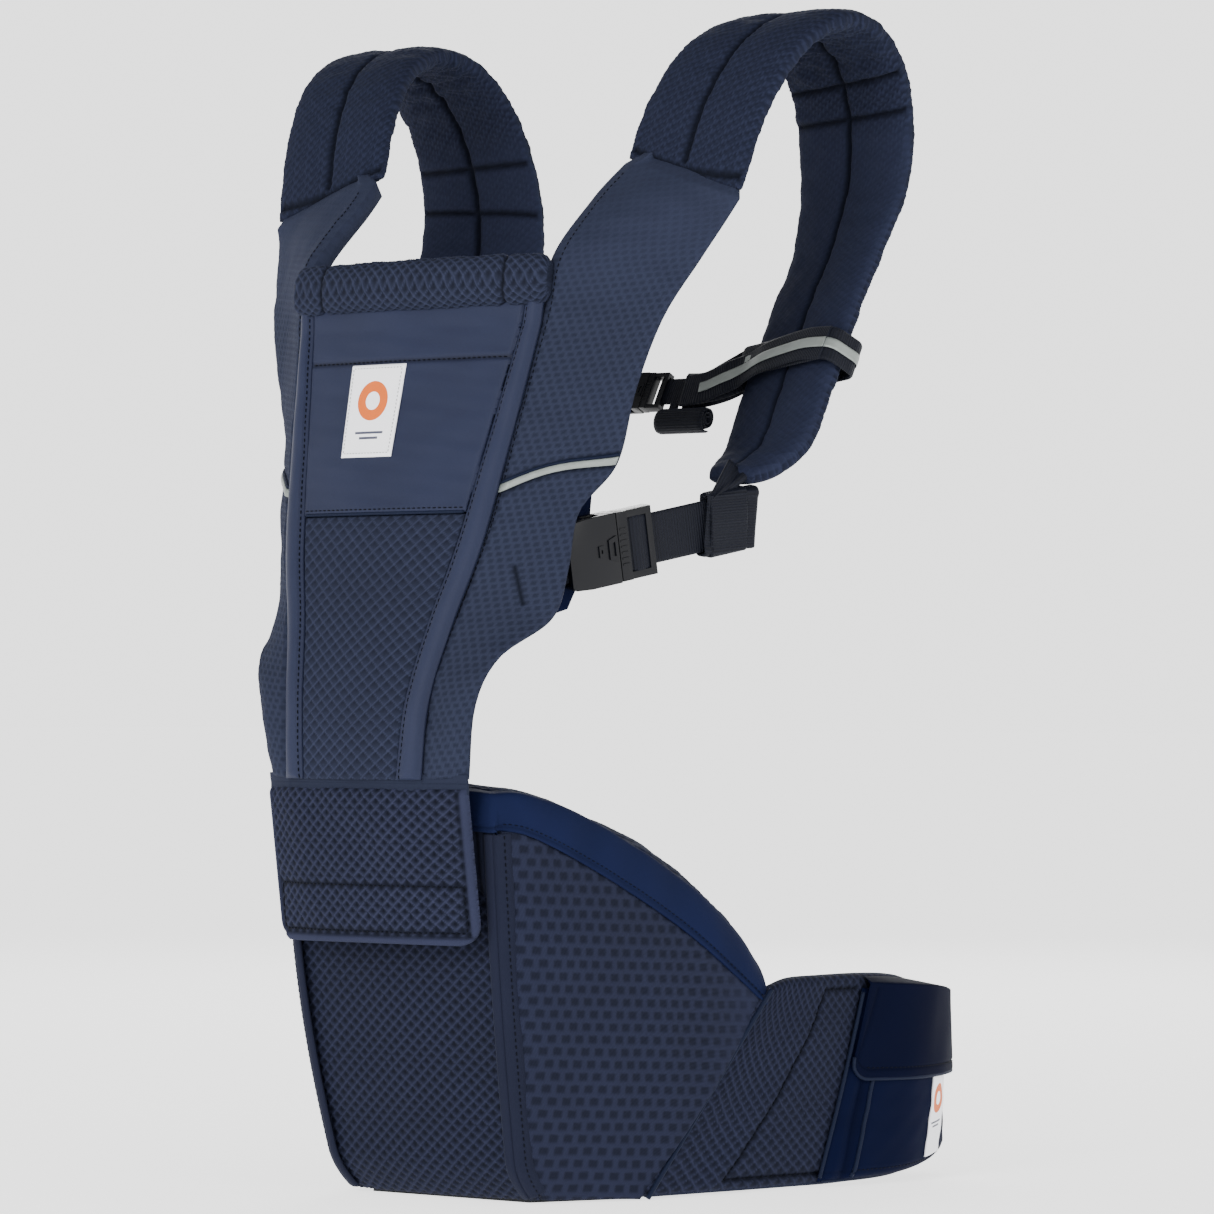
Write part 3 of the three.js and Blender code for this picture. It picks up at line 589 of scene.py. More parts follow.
def ribbon(name, path, side, width, body, nodes=(), thick=1.8, closed=False, material=None, samples=15,
           rib=0.14):
    """Webbing along a path, its ribs standing across it."""
    rib_pitch = 2.1
    path = np.asarray(path, float)
    section = web_outline(width, thick, samples)
    side = np.broadcast_to(np.asarray(side, float), path.shape)
    run = run_along(path)

    def outline(i):
        scale = 1 + rib * 2 / thick * (saw(run[i] / rib_pitch) - 0.5)
        return section * [1, scale]

    verts, faces, uv = sweep(path, side, outline, closed)
    # Painted shade on the webbing's ribs: lighter on each rib, darker between them.
    shade = np.repeat(0.35 + 0.65 * saw(run / rib_pitch), len(section))
    ob = mesh_object(name, verts, faces, uv, shade)
    return finish_piece(ob, body, material or WEBBING, nodes)


def rounded_ring(half_across, half_out, radius):
    """Closed rounded rectangle, as points (across, out) at even steps."""
    pts = []
    for a, b, start in ((1, 1, 0), (-1, 1, 90), (-1, -1, 180), (1, -1, 270)):
        for turn in np.radians(np.linspace(start, start + 90, 9)):
            pts.append((a * (half_across - radius) + radius * math.cos(turn),
                        b * (half_out - radius) + radius * math.sin(turn)))
    pts = np.array(pts + pts[:1])
    run = run_along(pts)
    at = np.arange(0, run[-1], 0.8)
    return np.stack([np.interp(at, run, pts[:, k]) for k in range(2)], 1)


def stitch_row(name, lines, body, long=2.7, gap=1.3, radius=0.42, material=None):
    """Rows of single stitches. lines holds (points, normals) pairs."""
    # One stitch: four rings of five points, the ends thin and sunk into the cloth.
    base = []
    for x, size, dip in ((-0.5, 0.25, -0.9), (-0.3, 0.9, 0.25), (0.3, 0.9, 0.25), (0.5, 0.25, -0.9)):
        for a in 2 * math.pi * np.arange(5) / 5:
            base.append((x * long, radius * size * math.cos(a), radius * (size * math.sin(a) + dip)))
    base = np.array(base)
    ring = [[r * 5 + k, r * 5 + (k + 1) % 5, r * 5 + 5 + (k + 1) % 5, r * 5 + 5 + k]
            for r in range(3) for k in range(5)]
    caps = [[4, 3, 2, 1, 0], [15, 16, 17, 18, 19]]
    verts, faces = [], []
    for points, outward in lines:
        points, outward = np.asarray(points, float), np.asarray(outward, float)
        run = run_along(points)
        count = int(run[-1] / (long + gap))
        at = (np.arange(count) + 0.5) * run[-1] / max(count, 1)
        here, up, ahead = (np.stack([np.interp(at, run, data[:, k]) for k in range(3)], 1)
                           for data in (points, outward, unit(np.gradient(points, axis=0))))
        up, ahead = unit(up), unit(ahead)
        beside = unit(np.cross(up, ahead))
        for p, t, b, n in zip(here, ahead, beside, up, strict=True):
            start = len(verts) * 20
            verts.append(p + base[:, :1] * t + base[:, 1:2] * b + base[:, 2:3] * n)
            faces += [[start + i for i in f] for f in ring + caps]
    ob = mesh_object(name, np.concatenate(verts), faces, np.zeros((len(verts) * 20, 2)),
                     np.ones(len(verts) * 20))
    return finish_piece(ob, body, material or THREAD)


def on_grid(grid, n, v, u, lift=0.0):
    """Points and normals on a grid at fractions v (down its rows) and u (along them)."""
    v, u = np.broadcast_arrays(np.asarray(v, float), np.asarray(u, float))
    y, x = np.clip(v, 0, 1) * (len(grid) - 1), np.clip(u, 0, 1) * (grid.shape[1] - 1)
    i, j = np.minimum(y.astype(int), len(grid) - 2), np.minimum(x.astype(int), grid.shape[1] - 2)
    a, b = (y - i)[:, None], (x - j)[:, None]

    def sample(g):
        return ((1 - a) * ((1 - b) * g[i, j] + b * g[i, j + 1])
                + a * ((1 - b) * g[i + 1, j] + b * g[i + 1, j + 1]))

    out = unit(sample(n))
    return sample(grid) + out * lift, out


# ---------- camera, light and floor ----------
# The camera stands 40 degrees round to the wearer's left, a little below the middle, and looks slightly up.
CAMERA_AT, CAMERA_TURN, CAMERA_TILT, LENS = (2.428, -2.851, 0.324), 40, 90.786, 170.8
camera = bpy.data.objects.new("camera", bpy.data.cameras.new("camera"))
bpy.context.scene.collection.objects.link(camera)
camera.location = CAMERA_AT
camera.data.lens = LENS
camera.data.sensor_width = 36
camera.rotation_euler = (math.radians(CAMERA_TILT), 0, math.radians(CAMERA_TURN))
bpy.context.scene.camera = camera


def lamp(name, place, aim, size, power):
    light = bpy.data.lights.new(name, "AREA")
    light.shape, light.size, light.energy = "DISK", size, power
    ob = bpy.data.objects.new(name, light)
    bpy.context.scene.collection.objects.link(ob)
    ob.location = place
    direction = Vector(aim) - Vector(place)
    ob.rotation_euler = direction.to_track_quat("-Z", "Y").to_euler()


lamp("key", (0.5, -3.2, 1.3), (0, 0, 0.35), 1.5, 75)
lamp("fill", (3.2, -0.8, 0.9), (0, 0, 0.35), 1.6, 32)
lamp("back", (-1.6, 2.4, 1.8), (0, 0, 0.4), 1.6, 40)
# The world is bright near the horizon and dimmer overhead.
world = bpy.data.worlds.new("studio")
world.use_nodes = True
tree = world.node_tree
aim = tree.nodes.new("ShaderNodeTexCoord")
height = tree.nodes.new("ShaderNodeSeparateXYZ")
fall = tree.nodes.new("ShaderNodeMapRange")
tree.links.new(aim.outputs["Generated"], height.inputs[0])
tree.links.new(height.outputs["Z"], fall.inputs["Value"])
for key, value in (("From Min", 0.12), ("From Max", 0.8), ("To Min", 2.3), ("To Max", 0.3)):
    fall.inputs[key].default_value = value
tree.links.new(fall.outputs[0], tree.nodes["Background"].inputs["Strength"])
tree.nodes["Background"].inputs["Color"].default_value = (1, 1, 1, 1)
bpy.context.scene.world = world

bpy.ops.mesh.primitive_plane_add(size=60, location=(0, 0, 0))
floor = bpy.context.active_object
floor.name = "studio_floor"
pale = Nodes("pale_floor")
pale.set(Base_Color=(0.6, 0.6, 0.6, 1), Roughness=0.9, Emission_Color=(1, 1, 1, 1), Emission_Strength=1.75)
floor.data.materials.append(pale.material)

# ---------- front panel ----------
# The panel's left edge, from its foot up.
FRONT_EDGE = [
    (57, -204, 266), (60.5, -200.5, 314), (70, -189, 363), (83, -177, 411),
    (90.5, -165, 460), (97, -153, 508), (103, -141, 557),
]
FRONT = vec(0, -1, 0)
# The pocket's lower edge as a share of the panel's height, and its hem as a share of its own height.
POCKET_V, POCKET_HEM, POCKET_HEIGHT = 0.57, 0.775, 133


def band_inner(v):
    return mix(0.69, 0.87, v)


def front_grid(v, u):
    """u is one row of shares of the half width, or one for each v. The top goes on behind the head roll."""
    edge = catmull(FRONT_EDGE, v)
    edge[:, 2] += 7 * ease(v, 0.97, 1.0)
    u = np.broadcast_to(u, (len(v), np.shape(u)[-1]))
    y = edge[:, 1:2] - 7 * (1 - u * u)
    return np.stack([u * edge[:, :1], y, np.broadcast_to(edge[:, 2:3], u.shape)], -1)


def centre_grid(v0, v1):
    gap = 0.004

    def shape(v, u):
        v = mix(v0, v1, v)
        return front_grid(v, (band_inner(v) - gap)[:, None] * (2 * u[None] - 1))

    return shape


def build_front_panel():
    """Mesh below and a satin pocket above, with the liner, the stowed hood and the label."""
    _, n, front, back = puffed(centre_grid(0, POCKET_V - 0.002), 169, 113, FRONT, -0.6, 3, 5, 2.0,
                               pressure=2)
    weave = lattice(front[..., 0], front[..., 2], *AIR_CELL)
    rim = rounding(front, 6)
    front = front + n * (0.75 * (weave - 1) * rim)[..., None]
    ob = cloth_piece("front_lattice_mesh", front, back, "panel", MESH, ["front_mesh_panel"],
                     8, weave)

    # The pocket is plain satin with a hem line, slack enough to bulge and crease a little.
    _, n, front, back = puffed(centre_grid(POCKET_V + 0.002, 1), 129, 145, FRONT, -1.5, 2, 4, 3.5,
                               pressure=3, square=("high",))
    s, t = lengths(front)
    level = np.linspace(0, 1, 129)[:, None]
    hem = bell((level - POCKET_HEM) * POCKET_HEIGHT, 1.5)
    crease = 0.5 * soft_noise(s, t, 60, 4) + 0.22 * soft_noise(s * 0.6, t * 1.6, 22, 5)
    rim = rounding(front, 9)
    front = front + n * (crease * rim - 1.1 * hem)[..., None]
    # Painted shade in the creases: darker where they sink, lighter where they rise.
    shade = 0.8 + 0.2 * ease(crease, -1, 1) - 0.7 * hem
    pocket = cloth_piece("pocket", front, back, "panel", SATIN, ["pocket_panel"], 8, shade)
    u = np.linspace(0.015, 0.985, 160)
    stitch_row("pocket_stitches", [on_grid(front, n, v, u, 0.25) for v in (POCKET_HEM, 0.018)], "panel")
    edge, _ = on_grid(front, n, 0.0, u, 0.3)
    tube("pocket_lower_welt", edge, 1.1, "panel", SEAM)

    # The liner's patterned side faces the child.
    grid = front_grid(np.linspace(0, 1, 97), np.linspace(-0.97, 0.97, 73))
    n = normals(grid, FRONT)
    q = rounding(grid, 5)[..., None]
    weave = lattice(*lengths(grid), *AIR_CELL)
    back = grid - n * (10.5 + 2.6 * q) - n * (0.5 * (weave[..., None] - 1) * q)
    liner = cloth_piece("liner_pad", back, grid - n * (10.5 - 3 * q), "panel", KNIT,
                        ["panel_liner"], 8, weave)

    grid = front_grid(np.linspace(0.62, 0.95, 49), np.linspace(-0.7, 0.7, 49))
    n = normals(grid, FRONT)
    q = rounding(grid, 2)[..., None]
    hood = cloth_piece("sun_hood", grid - n * (5.25 - 1.7 * q), grid - n * (5.25 + 1.7 * q), "panel",
                       SATIN, ["folded_sun_hood"], 8)

    grid = front_grid(np.linspace(0.693, 0.897, 49), np.linspace(-0.44, 0.03, 41))
    n = normals(grid, FRONT)
    q = rounding(grid, 1)[..., None]
    label = cloth_piece("front_label", grid + n * (0.9 + 0.5 * q) + n * 1.2, grid + n * 1.4, "panel",
                        LABEL, ["pocket_label"], 8)
    ring = np.linspace(0, 1, 60)
    outer = []
    for v, u in ((ring * 0, ring), (ring, ring * 0 + 1), (ring * 0 + 1, 1 - ring), (1 - ring, ring * 0)):
        outer.append(on_grid(grid, n, mix(0.04, 0.96, v), mix(0.05, 0.95, u), 2.8))
    stitch_row("label_stitches", outer, "panel", 1.6, 0.9, 0.24, SILVER)


def build_band(side, sign):
    """Satin band between the panel and the wing, rolled up a little, with a stitched inner edge."""
    v, u = np.linspace(0, 1, 305), np.linspace(0, 1, 25)
    inner = band_inner(v)
    grid = front_grid(v, mix(inner[:, None], 0.994, u[None])) * [sign, 1, 1]
    n = normals(grid, FRONT)
    q = rounding(grid, 5, ("high",))
    s, t = lengths(grid)
    roll = 3.4 * np.sin(np.pi * u) ** 0.8
    seam = 2.6
    line = 0.9 * bell(s - seam, 0.8)
    crease = 0.35 * soft_noise(s * 0.5, t, 28, 11 + sign)
    front = grid + n * (roll * q - line + crease * q)[..., None]
    # Painted highlight down the middle of the rolled band, and painted shade towards its edges.
    shade = 0.75 + 0.25 * np.sin(np.pi * u)[None] * np.ones_like(s)
    band = cloth_piece(f"satin_band_{side}", front, grid - n * 2.6, "panel", SATIN,
                       [f"side_band_{side}"], 8, shade)
    stitch_row(f"band_stitches_{side}", [on_grid(front, n, v, seam / s[:, -1], 0.2)], "panel")


# Half its length, its size round, and how far from the middle its ends are sewn in.
ROLL_HALF, ROLL_GIRTH, ROLL_PINCH = 106.5, 86, 76


def build_head_roll():
    """Mesh roll along the panel's top edge, sewn through near its ends."""
    u = np.linspace(-1, 1, 211)
    path = np.stack([u * ROLL_HALF, -139 - 8 * (1 - u * u), np.full_like(u, 577.0)], 1)
    around = 90
    a = np.linspace(0, 2 * math.pi, around, endpoint=False)
    unit_section = np.stack([np.sign(np.cos(a)) * np.abs(np.cos(a)) ** 0.72,
                             np.sign(np.sin(a)) * np.abs(np.sin(a)) ** 0.8], 1)
    girth = a / (2 * math.pi) * ROLL_GIRTH
    wobble = soft_noise(u * 100, u * 0, 26, 21)

    def outline(i):
        x = u[i] * ROLL_HALF
        pinch = bell(abs(x) - ROLL_PINCH, 2.2)
        end = math.sqrt(max(1 - (max(abs(x) - 99, 0) / 9) ** 2, 0.2))
        size = (1 - 0.14 * pinch) * end
        weave = lattice(x, -girth, *ROLL_CELL, 0.2)
        swell = 1 + 0.03 * wobble[i]
        push = 0.9 * (weave - 1) + 0.3 * soft_noise(np.full(around, x), girth, 18, 22)
        section = unit_section * vec(16.5, 8.3) * size * swell
        return section + unit(section) * push[:, None]

    verts, faces, uv = sweep(path, np.broadcast_to(vec(0, 0.12, 1), path.shape), outline)
    weave = np.concatenate([lattice(x * ROLL_HALF, -girth, *ROLL_CELL, 0.2) for x in u])
    pinch = bell(np.abs(np.repeat(u, around) * ROLL_HALF) - ROLL_PINCH, 1.2)
    ob = mesh_object("head_support_roll", verts, faces, uv, weave * (1 - pinch))
    finish_piece(ob, "panel", MESH, ["head_roll"])


# ---------- wings ----------
# Lines up the left wing, along its inner edge, its crest and its outer edge.
WING_INNER = [
    (57, -204, 266), (60.5, -200.5, 314), (66, -194, 345), (74, -184.5, 380), (83, -177, 411),
    (88, -170, 437), (93, -161, 478), (98, -150.5, 518), (103, -141, 557), (106.5, -134, 592),
    (107, -98, 628), (106, -62, 657),
]
WING_CREST = [
    (72, -199, 266), (79, -199, 313), (87, -187, 344), (97, -168, 378), (104, -158, 408),
    (110, -152, 437), (119, -139, 472), (127, -128, 514), (138, -115, 558), (144, -106, 592),
    (149, -87, 624), (152, -65, 646),
]
WING_OUTER = [
    (83, -188, 266), (91, -192, 312), (102, -182, 343), (115, -146, 366), (121, -138, 396),
    (125, -132, 432), (139, -112, 462), (151, -109, 508), (166, -101, 553), (181, -82, 590),
    (191, -70, 614), (199, -63, 632),
]
# The reflective strip's place at the wing's inner and outer edge, as shares of the wing's length, which
# WING_RUN holds.
STRIPE_V, WING_RUN = (0.475, 0.55), 470


def build_wing(side, sign):
    """Padded wing with a seam under its reflective strip."""
    flip = vec(sign, 1, 1)
    curves = [np.array(c, float) * flip for c in (WING_INNER, WING_CREST, WING_OUTER)]
    shape = lambda v, u: across(curves, v, u)
    out = vec(0.75 * sign, -0.66, 0)
    deep = lambda u: 9 * (1 - 0.48 * u * u)
    seam = lambda v, u: np.abs(v - mix(*STRIPE_V, u)) < 0.022
    _, n, front, back = puffed(shape, 433, 97, out, -0.2, deep, 4.5, 3.2, seam, 3.5, 9, ("start", "high"))
    s, t = lengths(front)
    # The inner edge goes under the satin band, and the top edge into the shoulder pad.
    under = np.clip(1 - s / 4.5, 0, 1)[..., None] * vec(-5 * sign, 3.5, 0)
    share = np.linspace(0, 1, 97)[None, :, None]
    into = np.clip(1 - (t[-1:] - t) / 6, 0, 1)[..., None] * (
        vec(0, 4, 9) - 6 * n + ease(1 - share, 0.8, 1) * vec(14 * sign, -5, 0)
        - ease(share, 0.84, 1) * vec(7 * sign, 5, 0))
    narrow = (np.clip(1 - (t[-1:] - t) / 40, 0, 1)[..., None] ** 1.5 * ease(1 - share, 0.4, 1)
              * vec(6 * sign, -3, 0))
    front, back = front + under + into + narrow, back + under + into + narrow
    height = front[..., 2]
    weave = blocks(s, height - 0.1 * s, *WING_CELL, 0.37)
    from_strip = np.linspace(0, 1, 433)[:, None] - mix(*STRIPE_V, np.linspace(0, 1, 97))[None]
    strip = ease(np.abs(from_strip * WING_RUN), 2.5, 9)
    rim = rounding(front, 6, ("high",))
    # The weave is calmer towards the shoulder.
    calm = ease(height, 640, 540) * 0.7 + 0.3
    slow = 0.7 * soft_noise(s, t, 55, 31) + 0.35 * soft_noise(s, t, 20, 32)
    slit = groove(height, s, [(397.7, 25), (374.9, 38.5)], 1.2)
    push = rim * (0.5 * calm * (weave - 1) + slow * strip) - 1.2 * (1 - strip) * rim - 1.6 * slit
    front = front + n * push[..., None]
    # The cloth beside the reflective strip is painted darker, as painted shade in its dip to the seam.
    shade = mix(0.9, weave, 0.75 * calm) * (0.45 + 0.55 * strip) * (1 - 0.9 * slit)
    wing = cloth_piece(f"padded_wing_{side}", front, back, "panel", WING,
                       [f"wing_{side}"], 8, shade)
    u = np.linspace(0.02, 0.98, 60)
    middle = mix(*STRIPE_V, u)
    top, up = on_grid(front, n, middle + 0.006, u)
    low, _ = on_grid(front, n, middle - 0.006, u)
    share = np.linspace(0, 1, 9)
    tape = top[None] * (1 - share)[:, None, None] + low[None] * share[:, None, None]
    tape = tape + up[None] * (2.3 + 0.5 * np.sin(np.pi * share))[:, None, None]
    cloth_piece(f"reflective_strip_{side}", tape, tape - up[None] * 1.2, "panel", SILVER,
                [f"reflective_piping_{side}"])
    edge, _ = on_grid(front, n, middle + 0.0085, u, 0.6)
    tube(f"strip_fold_{side}", edge, 1.3, "panel", SEAM)
    stitch_row(f"wing_stitches_{side}", [on_grid(front, n, np.linspace(0.01, 0.97, 300), 0.045, 0.1)],
               "panel")


def build_lining(side, sign):
    """Royal blue satin inside the wing, behind the buckle."""
    curves = [np.array(c, float) * [sign, 1, 1] for c in (
        [(98, -144, 364), (100.5, -140, 402), (102.5, -136, 446)],
        [(102, -116, 372), (103, -100, 402), (106, -97, 446)])]
    grid = across(curves, np.linspace(0, 1, 49), np.linspace(0, 1, 33))
    out = vec(0.95 * sign, -0.3, 0)
    n = normals(grid, out)
    s, t = lengths(grid)
    q = rounding(grid, 2)
    fold = 0.35 * soft_noise(s, t, 24, 41)
    front = grid - n * (1.25 - 1.2 * q - fold * q)[..., None]
    ob = cloth_piece(f"royal_lining_{side}", front, grid - n * (1.25 + 1.2 * q)[..., None], "panel",
                     ROYAL, [f"wing_lining_{side}"], 8)


# ---------- shoulder pads ----------
# The left pad's middle line, from the wing over the shoulder to the buckle, and the way its width lies.
PAD_PATH = [
    (151, -59.2, 649.6), (157, -44, 690), (165, -17, 726), (171, 22, 744), (170, 61, 736),
    (166, 90, 703), (160, 101, 652), (154, 91, 603), (152, 73, 570), (152, 56, 539),
    (152, 39, 508), (152, 22, 477), (150.5, 5, 463), (148.5, -12, 456),
]
REAR_SIDE = (0.95, -0.3, 0)
PAD_SIDES = [
    (1, -0.02, -0.28), (1, 0, -0.12), (1, 0, -0.05), (1, 0, 0), (1, 0, 0), (1, -0.03, 0),
    (1, -0.12, 0), (0.96, -0.28, 0), REAR_SIDE, REAR_SIDE, REAR_SIDE, REAR_SIDE, (0.9, -0.42, -0.1),
    (0.86, -0.5, -0.15),
]
# Half the section's usual width and thickness; the lists hold the whole ones along the path.
PAD_HALF, PAD_DEEP = 46, 8.5
PAD_WIDTHS = [94] * 7 + [92, 92, 92, 92, 86, 68, 40]
PAD_THICKNESS = [11, 15] + [17] * 9 + [17, 16, 12]


def pad_section(around):
    """Flat oval section of the pad at even steps, for a width and thickness of 2."""
    a = np.linspace(0, 2 * math.pi, 4000)
    power = 3.0
    r = (np.abs(np.cos(a)) ** power + np.abs(np.sin(a)) ** power) ** (-1 / power)
    line = np.stack([r * np.cos(a) * PAD_HALF, r * np.sin(a) * PAD_DEEP], 1)
    run = run_along(line)
    at = np.linspace(0, run[-1], around, endpoint=False)
    return np.stack([np.interp(at, run, line[:, k]) for k in range(2)], 1) / [PAD_HALF, PAD_DEEP], at


def build_pad(side, sign):
    """A flat oval section swept over the shoulder, with its seams, folds and weave."""
    flip = vec(sign, 1, 1)
    rows, around = 401, 168
    t = np.linspace(0, 1, rows)
    path = catmull(np.array(PAD_PATH, float) * flip, t)
    sides = catmull(np.array(PAD_SIDES, float) * flip, t) * sign
    sizes = catmull(np.stack([PAD_WIDTHS, PAD_THICKNESS], 1), t)
    section, girth = pad_section(around)
    run = run_along(path)
    tangent = unit(np.gradient(path, axis=0))
    x = section[:, 0] * PAD_HALF
    inner = section[:, 1] > 0
    total = np.zeros((rows, around))
    shade = np.ones((rows, around))
    # Distance along the pad and slant of the two cross seams.
    crossings = ((207, -0.23), (232, -0.2)) if sign > 0 else ((246, 0.1), (278, 0.18))
    for i in range(rows):
        w = sizes[i, 0] / (2 * PAD_HALF)
        s_here = np.full(around, run[i])
        end = ease(run[i], 506, 470)
        # Inner side: a centre seam from the first cross seam down, and two cross seams.
        centre = bell(x, 2.3) * ease(run[i], 120, 135)
        crossed = sum(bell(s_here - c - lean * x, 2.0) for c, lean in crossings)
        seam_inner = np.maximum(centre, np.minimum(crossed, 1))
        # Outer side: a centre channel over the shoulder, from just above the wing.
        channel = bell(x, 2.1) * ease(run[i], 3, 8) * ease(run[i], 262, 240)
        root = bell(s_here - 2 - 5 * (x / PAD_HALF) ** 2, 2.0)
        seam_outer = np.maximum(channel, root)
        seam = np.where(inner, seam_inner, seam_outer) * ease(PAD_HALF * w - np.abs(x * w), 0, 2.5)
        rise = 1 - np.exp(-((np.abs(x) / 13) ** 1.6)) * 0.9
        swell = np.where(inner, 1.4, 1.3) * (rise - 0.75)
        wrinkle = 0.55 * soft_noise(s_here * 1.4, x, 20, 51 + sign) + 0.18 * soft_noise(s_here * 2, x, 9, 53)
        bunch = wrinkle * (0.75 + 1.7 * bell(run[i] - 165, 55) * (inner + 0.25))
        patterned = np.where(inner, mix(0.45, 1, ease(run[i], 250, 215)), 1.0)
        weave = lattice(x * w + 300, s_here + 0.12 * x, *PAD_CELL)
        relief = 0.55 * (weave - 1) * patterned
        total[i] = (swell + bunch + relief - 3.2 * seam) * end
        shade[i] = mix(1.0, weave, patterned * 0.9) * (1 - 0.85 * np.clip(seam * 1.15, 0, 1))

    def outline(i):
        half = sizes[i] / 2
        flat = section * half
        end = 1.0
        if run[i] < 5:
            end = math.sqrt(max(1 - ((5 - run[i]) / 5.3) ** 2, 0.1))
        if i > rows - 9:
            end = math.sqrt(max(1 - ((i - rows + 9) / 8.6) ** 2, 0.05))
        normal = unit(np.stack([np.sign(flat[:, 0]) * np.abs(flat[:, 0] / half[0]) ** 2 / half[0],
                                np.sign(flat[:, 1]) * np.abs(flat[:, 1] / half[1]) ** 2 / half[1]], 1))
        return flat * [1, end] + normal * total[i][:, None]

    verts, faces, _ = sweep(path, sides, outline)
    # The pad starts lower at its outer edge, where the wing's seam slants down.
    share = np.clip(1 - run / 60, 0, 1)[:, None] * np.clip(0.5 + x[None] * sign / (2 * PAD_HALF), 0, 1)
    verts = verts - (share[..., None] * 11 * tangent[:, None]).reshape(-1, 3)
    uv = np.stack([np.broadcast_to(girth, (rows, around)), np.broadcast_to(run[:, None], (rows, around))], -1)
    ob = mesh_object(f"shoulder_pad_{side}", verts, faces, uv.reshape(-1, 2), shade.ravel())
    finish_piece(ob, "panel", PAD_MESH_SHADED, [f"strap_pad_{side}"])


# ---------- buckles ----------
def buckle_frame(origin, along, up):
    """Origin and unit axes: along the webbing, across it, and out of its face."""
    x = unit(np.array(along, float))
    z = unit(np.cross(x, np.array(up, float)))
    return np.array(origin, float), x, np.cross(z, x), z


def bevelled_copy(node, body, width):
    """The node's own shape with its edges rounded."""
    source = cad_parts[node]
    ob = bpy.data.objects.new(node + "_moulded", source.data.copy())
    ob.data.materials.clear()
    bpy.context.scene.collection.objects.link(ob)
    bpy.context.view_layer.objects.active = ob
    for other in bpy.context.selected_objects:
        other.select_set(False)
    ob.select_set(True)
    weld = ob.modifiers.new("weld", "WELD")
    weld.merge_threshold = 0.00005
    plane = ob.modifiers.new("plane", "DECIMATE")
    plane.decimate_type, plane.angle_limit = "DISSOLVE", math.radians(4)
    bevel = ob.modifiers.new("bevel", "BEVEL")
    bevel.width, bevel.segments, bevel.limit_method = width, 3, "ANGLE"
    bevel.angle_limit, bevel.harden_normals = math.radians(25), False
    for m in ("weld", "plane", "bevel"):
        bpy.ops.object.modifier_apply(modifier=m)
    ob.data.shade_smooth()
    ob.data.set_sharp_from_angle(angle=math.radians(35))
    return finish_piece(ob, body, PLASTIC, [node])


def local_mesh(name, parts, place, body, smooth=True):
    """Small pieces given in a buckle's own frame: each is (verts, faces)."""
    origin, x, y, z = place
    verts, faces, count = [], [], 0
    for v, f in parts:
        verts.append(origin + v[:, :1] * x + v[:, 1:2] * y + v[:, 2:3] * z)
        faces += [[i + count for i in g] for g in outward_faces(v, f)]
        count += len(v)
    ob = mesh_object(name, np.concatenate(verts), faces, None, None, smooth)
    return finish_piece(ob, body, PLASTIC)


def lobe(centre, radii):
    """Rounded button: a ball stretched to three radii."""
    rings, around = 7, 18
    rows = []
    for a in math.pi * np.arange(1, rings) / rings:
        for b in 2 * math.pi * np.arange(around) / around:
            rows.append((math.sin(a) * math.cos(b), math.sin(a) * math.sin(b), math.cos(a)))
    rows += [(0, 0, 1), (0, 0, -1)]
    faces = []
    for i in range(rings - 2):
        for k in range(around):
            m = (k + 1) % around
            faces.append([i * around + k, i * around + m, (i + 1) * around + m, (i + 1) * around + k])
    top, low = len(rows) - 2, len(rows) - 1
    for k in range(around):
        m = (k + 1) % around
        faces.append([top, m, k])
        faces.append([low, (rings - 2) * around + k, (rings - 2) * around + m])
    return centre + np.array(rows, float) * radii, faces


def slab_part(pts, z0, z1, bevel):
    """Plate with a chamfered top edge, from an outline in x and y."""
    centre = pts.mean(0)
    small = centre + (pts - centre) * (1 - bevel / np.abs(pts - centre).max())
    n = len(pts)
    verts = np.concatenate([np.c_[pts, np.full(n, z0)], np.c_[pts, np.full(n, z1 - bevel)],
                            np.c_[small, np.full(n, z1)]])
    faces = [[i, (i + 1) % n, n + (i + 1) % n, n + i] for i in range(n)]
    faces += [[n + i, n + (i + 1) % n, 2 * n + (i + 1) % n, 2 * n + i] for i in range(n)]
    faces += [list(range(n))[::-1], [2 * n + i for i in range(n)]]
    return verts, faces


def rim_part(pts, z0, z1, width):
    """Raised rim around an outline."""
    centre = pts.mean(0)
    reach = np.abs(pts - centre)
    inner = centre + (pts - centre) * (1 - width / reach[reach > 0.5].min())
    n = len(pts)
    verts = np.concatenate([np.c_[pts, np.full(n, z0)], np.c_[pts, np.full(n, z1)],
                            np.c_[inner, np.full(n, z1)], np.c_[inner, np.full(n, z0)]])
    faces = []
    for a, b in ((0, 1), (1, 2), (2, 3), (3, 0)):
        faces += [[a * n + i, a * n + (i + 1) % n, b * n + (i + 1) % n, b * n + i] for i in range(n)]
    return verts, faces


# The width of webbing that the buckle is drawn for, and the outlines of the windows in its face.
BUCKLE_WEB = 28.5
WINDOWS = (
    [(24.5, -5.4), (29.5, -7.2), (29.5, 7.2), (24.5, 5.4)],
    [(18.2, -3.2), (21.4, -3.2), (21.4, 3.2), (18.2, 3.2)],
)


